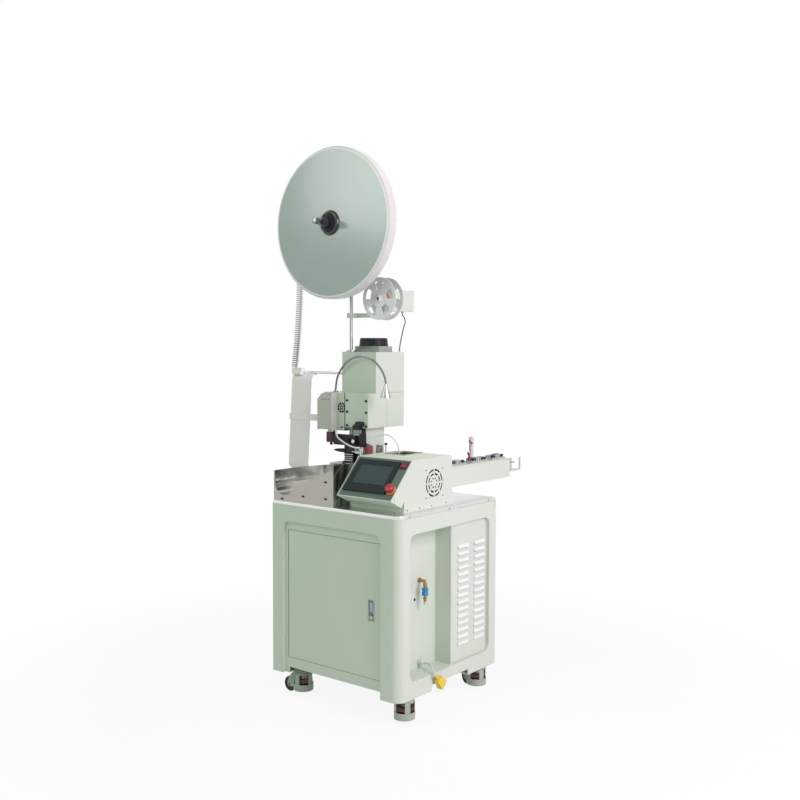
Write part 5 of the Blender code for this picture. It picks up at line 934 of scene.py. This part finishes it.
def tray_steel():
    """Polished sheet whose front shows dark streaks of painted reflection, more of them to the right."""
    trough = brushed("tray_polished", (0.66, 0.66, 0.64), 0.17, ALONG_Z, 0.08)
    # Painted reflection: dark streaks stand in for what the polished sheet mirrors.
    reflection_streaks = ((trough.noise(16.0, 3.0, (1.0, 1.0, 0.25)) - 0.46) * 7.0).clamped()
    rightward = ((trough.part(0) - (MIDDLE.x - 0.275)) * 14.0 + 0.12).clamped()
    dark = trough.part(1).above(TRAY_SHEET_FRONT) * reflection_streaks * rightward
    trough.colour = trough.mix(dark, trough.colour, (0.10, 0.095, 0.085))
    return trough


class CRIMP_OT_metal(bpy.types.Operator):
    """Bare metal: table plate, tray, transfer arm, pole, latch and cutter"""

    bl_idname = "crimp.metal"
    bl_label = "Bare metal"

    def execute(self, context):
        dress(brushed("table_steel", (0.74, 0.75, 0.73), 0.30, (40.0, 1.0, 40.0)), "table_plate")
        dress(tray_steel(), "tray_trough")
        front = brushed("tray_front_steel", (0.40, 0.385, 0.345), 0.36)
        shades = []
        for x, rise in TRAY_SLOTS:
            spot = Vector((MIDDLE.x + x, 0.0, ON_TABLE + rise))
            # Painted shade: the slots are painted near black and black blocks fill them, where the plate is
            # cut through.
            slot_shade_mask = front.part(0).near(spot.x, 0.0080) * front.part(2).near(spot.z, 0.0037)
            front.over(slot_shade_mask, (0.010, 0.010, 0.011), 0.6)
            shades.append(((spot.x - 0.0062, TRAY_FRONT + 0.0004, spot.z - 0.0026),
                           (spot.x + 0.0062, TRAY_FRONT + 0.0014, spot.z + 0.0026)))
        piece("tray_slot_shade", blocks(shades), plastic("slot_shade_black", (0.008, 0.008, 0.009), 0.7))
        dress(front, "tray_front_plate")
        dress(brushed("turned_steel", (0.52, 0.52, 0.51), 0.24, ALONG_Z), "transfer_arm")
        dress(brushed("pole_steel", (0.32, 0.325, 0.34), 0.30, ALONG_Z), "reel_pole")
        latch = brushed("latch_metal", (0.15, 0.175, 0.17), 0.34, (20.0, 1.0, 1.0), 0.05)
        low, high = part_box("latch_paddle")
        side_rim = 0.006
        inner = latch.part(0).near((low.x + high.x) / 2, (high.x - low.x) / 2 - side_rim)
        latch.over(inner * latch.zone(low=low.z + 0.010, high=high.z - 0.008), (0.36, 0.40, 0.39), 0.3, 1.0)
        dress(latch, "latch_paddle")
        cutter = blackened("cutter_steel")
        groove_pitch = 0.008
        stripes = cutter.part(2).wave(groove_pitch).above(0.70) * cutter.zone(rear=-0.1255)
        dress(cutter.over(stripes, (0.62, 0.63, 0.62), 0.3, 1.0), "cutter_block")
        return {"FINISHED"}


class CRIMP_OT_applicator(bpy.types.Operator):
    """The blackened applicator and rams, with their hook, block, dial and screws"""

    bl_idname = "crimp.applicator"
    bl_label = "Applicator"

    def execute(self, context):
        tool = blackened("applicator_black")
        base_top = 0.9389
        counter_block = tool.zone(right=-0.2108)
        base_end = tool.zone(left=-0.0525, high=base_top)
        bright_cheek = tool.zone(left=-0.0725, low=0.955, high=0.9995)
        tool.over(counter_block, (0.045, 0.014, 0.012), 0.42, 0.2)
        tool.over(base_end, (0.4, 0.4, 0.4), 0.35, 0.9)
        tool.over(bright_cheek, (0.55, 0.55, 0.54), 0.32, 0.9)
        dress(tool, "applicator_frame")
        dress(blackened("finger_black"), "feed_finger")
        dress(blackened("ram_black"), "press_ram", "applicator_ram")
        hook = ((-0.094, 1.0455), (-0.0715, 1.0455), (-0.0715, 1.0835), (-0.058, 1.0835), (-0.058, 1.094),
                (-0.064, 1.098), (-0.090, 1.098), (-0.094, 1.094))
        piece("ram_hook", plate(hook, -0.0800, -0.0645), blackened("hook_black"), "ram")
        cheek = blocks([(place(-0.0885, -0.0990, 1.0440), place(-0.0570, -0.0806, 1.0665))], 0.0012)
        piece("ram_block", cheek, brushed("ram_block_steel", (0.20, 0.22, 0.21), 0.38), "ram")
        turned("setting_dial", ((0.0, 0.0), (0.0072, 0.0), (0.0078, 0.0008), (0.0078, 0.0028),
                                (0.0070, 0.0034), (0.0030, 0.0034), (0.0026, 0.0028), (0.0, 0.0028)),
               [place(-0.0860, -0.1010, 1.0205)], FRONT, brushed("dial_metal", (0.62, 0.62, 0.60), 0.3, EVEN))
        black = blackened("tool_screw_black")
        spots = [place(x, -0.0950, z) for z in (0.9905, 1.0055) for x in (-0.0665, -0.0475)]
        screws("tool_screws", spots, FRONT, black, 0.0026, 0.0020)
        spots = [place(-0.113, y, base_top + 0.0002) for y in (-0.100, -0.056)]
        screws("tool_base_screws", spots, TOP, black, 0.0040, 0.0030)
        screws("finger_pin_head", [place(-0.133, -0.101, 0.980)], FRONT, black, 0.0034, 0.0016)
        spots = [Vector((MIDDLE.x + x, FACE_PLATE_LOW.y, z)) for x in (-0.150, -0.0495)
                 for z in (1.181, 1.135, 1.080)]
        screws("face_plate_bolts", spots, FRONT, black, 0.0047, 0.0016, 18)
        return {"FINISHED"}


class CRIMP_OT_feed(bpy.types.Operator):
    """The feed column's fluted muffler, valve block, knob, collars and tubes"""

    bl_idname = "crimp.feed"
    bl_label = "Wire feed"

    def execute(self, context):
        shiny = brushed("muffler_metal", (0.66, 0.64, 0.60), 0.18, (1.0, 1.0, 30.0))
        flute = blocks([((-0.0026, -0.0013, -0.0170), (0.0010, 0.0013, 0.0170))], 0.0003)
        flute_middle = place(*MUFFLER_AT, 0.9845)
        round_tree().run("muffler_flutes", bpy.data.meshes.new("muffler_base"), shiny, part=flute,
                         matrix=Matrix.Translation(flute_middle), count=14, radius=0.0138)
        turned("muffler_cap", ((0.0, 0.0), (0.0130, 0.0), (0.0145, 0.0012), (0.0145, 0.0042),
                               (0.0045, 0.0062), (0.0045, 0.0120), (0.0036, 0.0130), (0.0, 0.0130)),
               [place(*MUFFLER_AT, 1.0048)], TOP, brushed("muffler_cap_metal", (0.62, 0.60, 0.56), 0.22))
        dress(plastic("valve_red", (0.27, 0.065, 0.07), 0.4), "valve_block")
        dress(plastic("tube_white", (0.74, 0.75, 0.73), 0.30), "wire_tube", "air_tube")
        turned("valve_knob", ((0.0, 0.0), (0.0052, 0.0), (0.0058, 0.0012), (0.0058, 0.0068), (0.0046, 0.0084),
                              (0.0, 0.0088)),
               [place(0.004, -0.004, 1.0045)], TOP, plastic("knob_black", (0.015, 0.015, 0.017), 0.3), 20)
        turned("valve_collars", ((0.0028, 0.0), (0.0046, 0.0), (0.0046, 0.0040), (0.0038, 0.0052),
                                 (0.0028, 0.0052)),
               [place(-0.0300, -0.0660, 1.0041), place(-0.0310, -0.0760, 1.0041)], TOP,
               plastic("collar_blue", (0.03, 0.10, 0.22), 0.35), 16, True)
        return {"FINISHED"}


def reel_gloss(colour):
    """A glossy disc with a pale rim and border ring, a black middle and the wound coil behind."""
    reel = Finish("reel_gloss", colour, 0.20).fixed({"Coat Roughness": 0.12, "Coat Weight": 0.35})
    far = reel.radius(REEL_CENTRE, "Y")
    deep = reel.part(1)
    reel.shade(reel.noise(4.0) * 0.12 + 0.94)
    reel.over(far.above(REEL_RADIUS - 0.0095), (0.64, 0.66, 0.63), 0.35)
    reel.over(far.above(REEL_RADIUS - 0.0130) * deep.below(REEL_FRONT + 0.0006), (0.82, 0.85, 0.83), 0.4)
    reel.over(far.below(0.0498) * deep.below(REEL_FRONT + 0.0005), (0.016, 0.016, 0.018), 0.28)
    turn_pitch = 0.0024
    wound = deep.above(REEL_FRONT + 0.0440) * far.below(0.2185)
    reel.over(wound, (0.55, 0.55, 0.52), 0.4, 0.6)
    reel.over(wound * far.wave(turn_pitch).above(0.5), (0.22, 0.22, 0.21), 0.5, 0.3)
    return reel.eased(0.0008)


class CRIMP_OT_reel(bpy.types.Operator):
    """The terminal reel with its hub and the strip of terminals"""

    bl_idname = "crimp.reel"
    bl_label = "Reel and strip"

    def execute(self, context):
        values = settings()
        dress(reel_gloss(tuple(values.paint.reel)), "terminal_reel")
        black = plastic("hub_black", (0.008, 0.008, 0.011), 0.34).fixed(DULL)
        axis = Vector((REEL_CENTRE.x, REEL_FRONT, REEL_CENTRE.z))
        turned("reel_hub", ((0.0475, 0.0006), (0.0500, 0.0020), (0.0488, 0.0032), (0.0440, 0.0104),
                            (0.0232, 0.0208), (0.0226, 0.0300), (0.0190, 0.0330), (0.0185, 0.0325),
                            (0.0219, 0.0195)), [axis], FRONT, black, 48, True, "reel", 30.0)
        circle = 0.034
        angles = [math.tau * i / 4 + 0.6 for i in range(4)]
        spots = [axis + Vector((circle * math.cos(a), -0.0150, circle * math.sin(a))) for a in angles]
        screws("hub_screws", spots, FRONT, black, 0.0032, 0.0030, body="reel")
        turned("axle_cap", ((0.0, 0.0), (0.0108, 0.0), (0.0120, 0.0012), (0.0120, 0.0030), (0.0080, 0.0046),
                            (0.0, 0.0046)),
               [Vector((REEL_CENTRE.x, MIDDLE.y - 0.2158, REEL_CENTRE.z))], FRONT,
               brushed("axle_cap_metal", (0.30, 0.31, 0.31), 0.26))
        dress(brushed("strip_metal", (0.58, 0.58, 0.58), 0.4, (1.0, 1.0, 20.0)), "terminal_strip")
        near, back = -values.strip.width * 0.68, values.strip.width * 0.32
        barrel = blocks([((-0.0017, near, -0.0013), (0.0016, back, 0.0013)),
                         ((-0.0046, near, -0.0020), (-0.0009, near * 0.4, -0.0014)),
                         ((-0.0046, near, 0.0014), (-0.0009, near * 0.4, 0.0020))])
        coil_radius = 0.217
        half_strip = 0.0009
        x = REEL_CENTRE.x - coil_radius - half_strip
        stations = ((x, 1.850), (x, 1.76), (x + 0.001, 1.64), (x - 0.004, 1.54), (x - 0.011, 1.45),
                    (x - 0.020, 1.38), (x - 0.029, 1.3165))
        path = smooth_path([(a, MIDDLE.y - 0.067, z) for a, z in stations], 0.01)
        tin = brushed("terminal_tin", (0.30, 0.31, 0.32), 0.34)
        row_tree().run("strip_terminals", path_curve("strip_path", path), tin, part=barrel,
                       pitch=values.strip.pitch)
        return {"FINISHED"}


class CRIMP_OT_takeup(bpy.types.Operator):
    """The paper take-up spool, its core, boss and pin, and its drive cable"""

    bl_idname = "crimp.takeup"
    bl_label = "Paper take-up"

    def execute(self, context):
        look = plastic("spool_plastic", (0.80, 0.83, 0.82), 0.4)
        inside = look.part(1).within(SPOOL_LOW.y + 0.004, SPOOL_HIGH.y - 0.004)
        core = look.radius(SPOOL_CENTRE, "Y").below(0.0232) * inside
        dress(look.over(core, (0.30, 0.20, 0.11), 0.75), "takeup_spool")
        front = Vector((SPOOL_CENTRE.x, SPOOL_LOW.y - 0.0002, SPOOL_CENTRE.z))
        turned("spool_boss", ((0.0065, 0.0), (0.0165, 0.0), (0.0180, 0.0010), (0.0160, 0.0030),
                              (0.0115, 0.0042), (0.0110, 0.0080), (0.0098, 0.0090), (0.0065, 0.0090)),
               [front], FRONT, plastic("boss_plastic", (0.74, 0.77, 0.76), 0.4), 32, True, "spool")
        turned("spool_pin", ((0.0, 0.0), (0.0064, 0.0), (0.0064, 0.0070), (0.0045, 0.0078), (0.0, 0.0078)),
               [front], FRONT, blackened("pin_black"), 20)
        dress(plastic("cable_black", (0.02, 0.02, 0.022), 0.5), "takeup_cable")
        return {"FINISHED"}


class CRIMP_OT_lamp(bpy.types.Operator):
    """The lamp's ringed neck, cone and lens"""

    bl_idname = "crimp.lamp"
    bl_label = "Lamp"

    def execute(self, context):
        dress(brushed("neck_steel", (0.16, 0.16, 0.17), 0.32, EVEN), "lamp_neck")
        dress(brushed("cone_steel", (0.36, 0.37, 0.37), 0.26, ALONG_Z), "lamp_head")
        ring = bmesh.new()
        lathe(ring, ((0.0030, -0.0014), (0.0044, -0.0006), (0.0044, 0.0006), (0.0030, 0.0014)), Vector(), TOP,
              12, True)
        stations = ((-0.253, -0.020, 1.2175), (-0.253, -0.020, 1.222), (-0.241, -0.023, 1.270),
                    (-0.210, -0.028, 1.311), (-0.164, -0.033, 1.345), (-0.098, -0.042, 1.360),
                    (-0.033, -0.052, 1.349), (0.018, -0.060, 1.316), (0.046, -0.065, 1.280),
                    (0.052, -0.066, 1.262), (0.052, -0.066, 1.256))
        path = [MIDDLE + p for p in smooth_path(stations, 0.006)]
        look = brushed("neck_ring_steel", (0.22, 0.22, 0.23), 0.28, EVEN)
        row_tree().run("neck_rings", path_curve("neck_path", path), look, part=ring,
                       pitch=settings().lamp.pitch)
        turned("neck_socket", ((0.0050, 0.0), (0.0095, 0.0), (0.0100, 0.0010), (0.0090, 0.0055),
                               (0.0050, 0.0062)),
               [place(-0.253, -0.020, HEAD_TOP + 0.0005)], TOP, look, 20, True)
        glass = Finish("lens_white", (0.82, 0.83, 0.80), 0.2)
        glass.shade(glass.noise(60.0) * 0.1 + 0.92)
        turned("lamp_lens", ((0.0, 0.0), (0.0150, 0.0006), (0.0172, 0.0018), (0.0, 0.0020)),
               [place(0.052, -0.066, 1.1990)], TOP, glass, 28)
        return {"FINISHED"}


def bank_look(number, top):
    """Steel rollers with painted shade in the dark gaps between them, a painted top bar, and dark lines on
    the posts.
    """
    look = brushed("bank_" + number, (0.52, 0.53, 0.52), 0.32)
    dark = (0.03, 0.03, 0.03)
    roller_pitch = 0.0145
    rollers = look.zone(low=top + 0.0085, high=top + 0.0220)
    top_bar = look.zone(low=top + 0.0270)
    post = look.zone(low=top + 0.040, high=top + 0.078)
    collar = look.zone(low=top + 0.0795, high=top + 0.0835)
    # Painted shade: the gaps between the rollers are painted dark.
    look.over(look.part(1).wave(roller_pitch).above(-0.25) * rollers, (0.020, 0.014, 0.030), 0.30, 0.3)
    look.over(top_bar, (0.56, 0.59, 0.56), 0.42)
    look.over(look.part(0).near(BEAM_LOW.x + 0.040, 0.0014) * post, dark, 0.4)
    return look.over(collar, dark, 0.4)


class CRIMP_OT_straightener(bpy.types.Operator):
    """Rollers, levers, pulley, rods and end wedge of the wire straightener"""

    bl_idname = "crimp.straightener"
    bl_label = "Wire straightener"

    def execute(self, context):
        top = BEAM_HIGH.z + 0.0003
        for number in "123":
            dress(bank_look(number, top), "roller_bank_" + number)
        red = plastic("lever_red", (0.30, 0.012, 0.035), 0.38)
        dress(red, "clamp_lever_1", "clamp_lever_2")
        dress(brushed("pulley_steel", (0.5, 0.5, 0.5), 0.28), "end_pulley")
        post = Vector((BEAM_LOW.x + 0.034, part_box("roller_bank_2")[0].y + 0.021, 0.0))

        def by_post(*steps):
            return [post + Vector((x, y, top + z)) for x, y, z in steps]

        grip = by_post((0.010, -0.003, 0.092), (0.018, -0.005, 0.087), (0.026, -0.007, 0.080))
        piece("tall_post_handle", tubes([(grip, 0.0034)], 12), red, "machine", 60.0)
        rods = tubes([(by_post((-0.004, 0.006, 0.104), (-0.006, 0.010, 0.1088)), 0.0016),
                      (by_post((0.000, 0.004, 0.040), (0.012, 0.036, 0.062)), 0.0018)])
        piece("tall_post_rods", rods, brushed("rod_steel", (0.6, 0.6, 0.6), 0.25), "machine", 60.0)
        x, y = BEAM_LOW.x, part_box("roller_bank_3")[0].y
        wedge = blocks([((x + 0.022, y + 0.060, top + 0.0070), (x + 0.034, y + 0.094, top + 0.0200))], 0.002)
        piece("end_wedge", wedge, plastic("wedge_dark", (0.02, 0.02, 0.025), 0.4))
        return {"FINISHED"}


class CRIMP_OT_castors(bpy.types.Operator):
    """The four levelling castors with knurled thumbwheels"""

    bl_idname = "crimp.castors"
    bl_label = "Levelling castors"

    def execute(self, context):
        shell = paint("castor_paint", (0.36, 0.43, 0.34))
        tyre = plastic("castor_nylon", (0.018, 0.018, 0.019), 0.42)
        brown = (0.075, 0.018, 0.014)
        knurl = plastic("thumbwheel_brown", brown, 0.4)
        for i, (x, y) in CASTORS.items():
            name = "castor_" + str(i)
            dress(shell, name + "_housing")
            dress(tyre, name + "_wheel")
            foot = Finish(name + "_foot_look", (0.02, 0.02, 0.021), 0.7)
            foot.over(foot.zone(low=0.0309), (0.55, 0.55, 0.53), 0.3, 1.0)
            wheel = foot.part(2).within(*THUMBWHEEL) * foot.radius(Vector((x, y, 0.0)), "Z").above(0.012)
            foot.over(wheel, brown, 0.4)
            dress(foot.eased(0.0006), name + "_foot")
            tooth = blocks([((-0.0010, -0.0022, -0.0060), (0.0008, 0.0022, 0.0060))], 0.0006)
            round_tree().run(name + "_knurls", bpy.data.meshes.new(name + "_knurl_base"), knurl,
                             "foot_" + str(i), tooth, Matrix.Translation((x, y, sum(THUMBWHEEL) / 2)),
                             count=22, radius=0.0350)
        return {"FINISHED"}


class CRIMP_OT_air(bpy.types.Operator):
    """The brass air inlet with its blue slide valve and chrome coupler, and a black disc by it, painted shade
    where a hole is
    """

    bl_idname = "crimp.air"
    bl_label = "Air inlet"

    def execute(self, context):
        brass = brushed("brass", (0.44, 0.27, 0.14), 0.28, (20.0, 20.0, 1.0))
        dress(brass.over(brass.zone(low=0.40, high=0.4300), (0.68, 0.68, 0.67), 0.18, 1.0), "air_inlet")
        dress(plastic("valve_blue", (0.012, 0.24, 0.46), 0.3), "air_valve_sleeve")
        turned("coupler_ring", ((0.0043, 0.0), (0.0062, 0.0), (0.0068, 0.0010), (0.0068, 0.0060),
                                (0.0060, 0.0070), (0.0060, 0.0090), (0.0043, 0.0090)),
               [Vector((0.3550, -0.2360, 0.4190))], TOP, brushed("coupler_chrome", (0.7, 0.7, 0.7), 0.15),
               ring=True)
        # Painted shade: a flat black disc stands in for the dark hole in the niche.
        turned("niche_plug", ((0.0, 0.0), (0.0060, 0.0), (0.0060, 0.0006), (0.0045, 0.0012), (0.0, 0.0012)),
               [place(0.2363, -0.114, 0.434)], RIGHT, plastic("niche_hole_black", (0.012, 0.012, 0.013), 0.4), 20)
        return {"FINISHED"}


class CRIMP_OT_latch(bpy.types.Operator):
    """The chrome bezel of the door latch, open at its foot"""

    bl_idname = "crimp.latch"
    bl_label = "Door latch"

    def execute(self, context):
        low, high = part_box("latch_paddle")
        bar = 0.0022
        back = DOOR_FRONT - 0.0001
        out = back + 0.0012
        x0, x1, z0, z1 = low.x - 0.0030, high.x + 0.0030, low.z - 0.0300, high.z + 0.0030
        bars = (((x0, back, z0), (x0 + bar, out, z1)), ((x1 - bar, back, z0), (x1, out, z1)),
                ((x0 + bar, back, z1 - bar), (x1 - bar, out, z1)))
        piece("latch_bezel", blocks(bars, 0.0004), brushed("bezel_metal", (0.28, 0.32, 0.30), 0.3), "door")
        return {"FINISHED"}


class CRIMP_OT_electrics(bpy.types.Operator):
    """The plate with drive modules inside the cabinet"""

    bl_idname = "crimp.electrics"
    bl_label = "Electrics"

    def execute(self, context):
        look = brushed("electrics", (0.55, 0.56, 0.55), 0.4)
        slot_pitch = 0.012
        on_plate = look.zone(rear=MODULE_PLATE - 0.0005)
        ducts = (look.zone(low=0.429, high=0.461) + look.zone(low=0.289, high=0.321)) * on_plate
        look.over(on_plate, (0.40, 0.42, 0.42), 0.5)
        look.over(look.zone(rear=MODULE_PLATE - 0.045), (0.03, 0.03, 0.034), 0.45)
        look.over(ducts, (0.36, 0.38, 0.38), 0.5)
        look.over(ducts * look.part(0).wave(slot_pitch).above(0.35), (0.10, 0.10, 0.11), 0.6)
        dress(look, "control_panel")
        faces = []
        module_pitch = 0.085
        front = MIDDLE.y + MODULE_PLATE - 0.1302
        for i in range(3):
            left = MIDDLE.x - 0.200 + i * module_pitch
            faces.append(((left + 0.008, front - 0.0018, 0.6400), (left + 0.052, front, 0.6700)))
            faces.append(((left + 0.010, front - 0.0028, 0.5100), (left + 0.050, front, 0.5300)))
        piece("module_faces", blocks(faces, 0.0006), plastic("module_grey", (0.30, 0.32, 0.33), 0.4))
        return {"FINISHED"}


class CRIMP_OT_fasteners(bpy.types.Operator):
    """Screws of the table plate and of the wire box"""

    bl_idname = "crimp.fasteners"
    bl_label = "Fasteners"

    def execute(self, context):
        black = blackened("screw_black")
        left, right = TABLE_LOW.x + 0.012, TABLE_HIGH.x - 0.014
        front, rear = TABLE_LOW.y + 0.012, TABLE_HIGH.y - 0.012
        spots = ((left, rear), (right, front), (right, rear), (right, -0.020), (0.2000, rear))
        screws("table_screws", [Vector((x, y, TABLE_HIGH.z - 0.0002)) for x, y in spots], TOP,
               brushed("screw_steel", (0.58, 0.58, 0.56), 0.3), 0.0042, 0.0014, 16)
        middle = (TABLE_LOW.z + TABLE_HIGH.z) / 2
        edge = [Vector((TABLE_HIGH.x, y, middle)) for y in (-0.400, -0.150, 0.120)]
        screws("table_edge_screws", edge, RIGHT, black, 0.0022, 0.0012)
        cover = [Vector((x, WIRE_BOX_LOW.y, z)) for x in (WIRE_BOX_LOW.x + 0.006, WIRE_BOX_LOW.x + 0.072)
                 for z in (WIRE_BOX_LOW.z + 0.008, WIRE_BOX_HIGH.z - 0.008)]
        screws("cover_screws", cover, FRONT, black, 0.0020, 0.0012)
        screws("wire_box_bolt", [place(-0.1821, -0.0600, 1.0700)], FRONT, black, 0.0042, 0.0016, 18)
        return {"FINISHED"}


class CRIMP_PT_panel(bpy.types.Panel):
    """The machine's pieces and their values"""

    bl_label = "Crimping machine"
    bl_idname = "CRIMP_PT_panel"
    bl_space_type = "VIEW_3D"
    bl_region_type = "UI"
    bl_category = "Crimping machine"

    def draw(self, context):
        for group in ("paint", "stage", "strip", "lamp", "lead"):
            values = getattr(settings(), group)
            for key in values.__annotations__:
                self.layout.prop(values, key)
        for operator in OPERATORS:
            self.layout.operator(operator.bl_idname)


VALUES = (PaintValues, StageValues, StripValues, LampValues, LeadValues, MachineValues)
OPERATORS = (CRIMP_OT_stage, CRIMP_OT_lead, CRIMP_OT_paint, CRIMP_OT_console, CRIMP_OT_metal,
             CRIMP_OT_applicator, CRIMP_OT_feed, CRIMP_OT_reel, CRIMP_OT_takeup, CRIMP_OT_lamp,
             CRIMP_OT_straightener, CRIMP_OT_castors, CRIMP_OT_air, CRIMP_OT_latch, CRIMP_OT_electrics,
             CRIMP_OT_fasteners)


def register():
    for item in (*VALUES, *OPERATORS, CRIMP_PT_panel):
        bpy.utils.register_class(item)
    bpy.types.Scene.crimping_machine = PointerProperty(type=MachineValues)


def unregister():
    del bpy.types.Scene.crimping_machine
    for item in reversed((*VALUES, *OPERATORS, CRIMP_PT_panel)):
        bpy.utils.unregister_class(item)


def main():
    register()
    for operator in OPERATORS:
        group, name = operator.bl_idname.split(".")
        getattr(getattr(bpy.ops, group), name)()


if __name__ == "__main__":
    main()
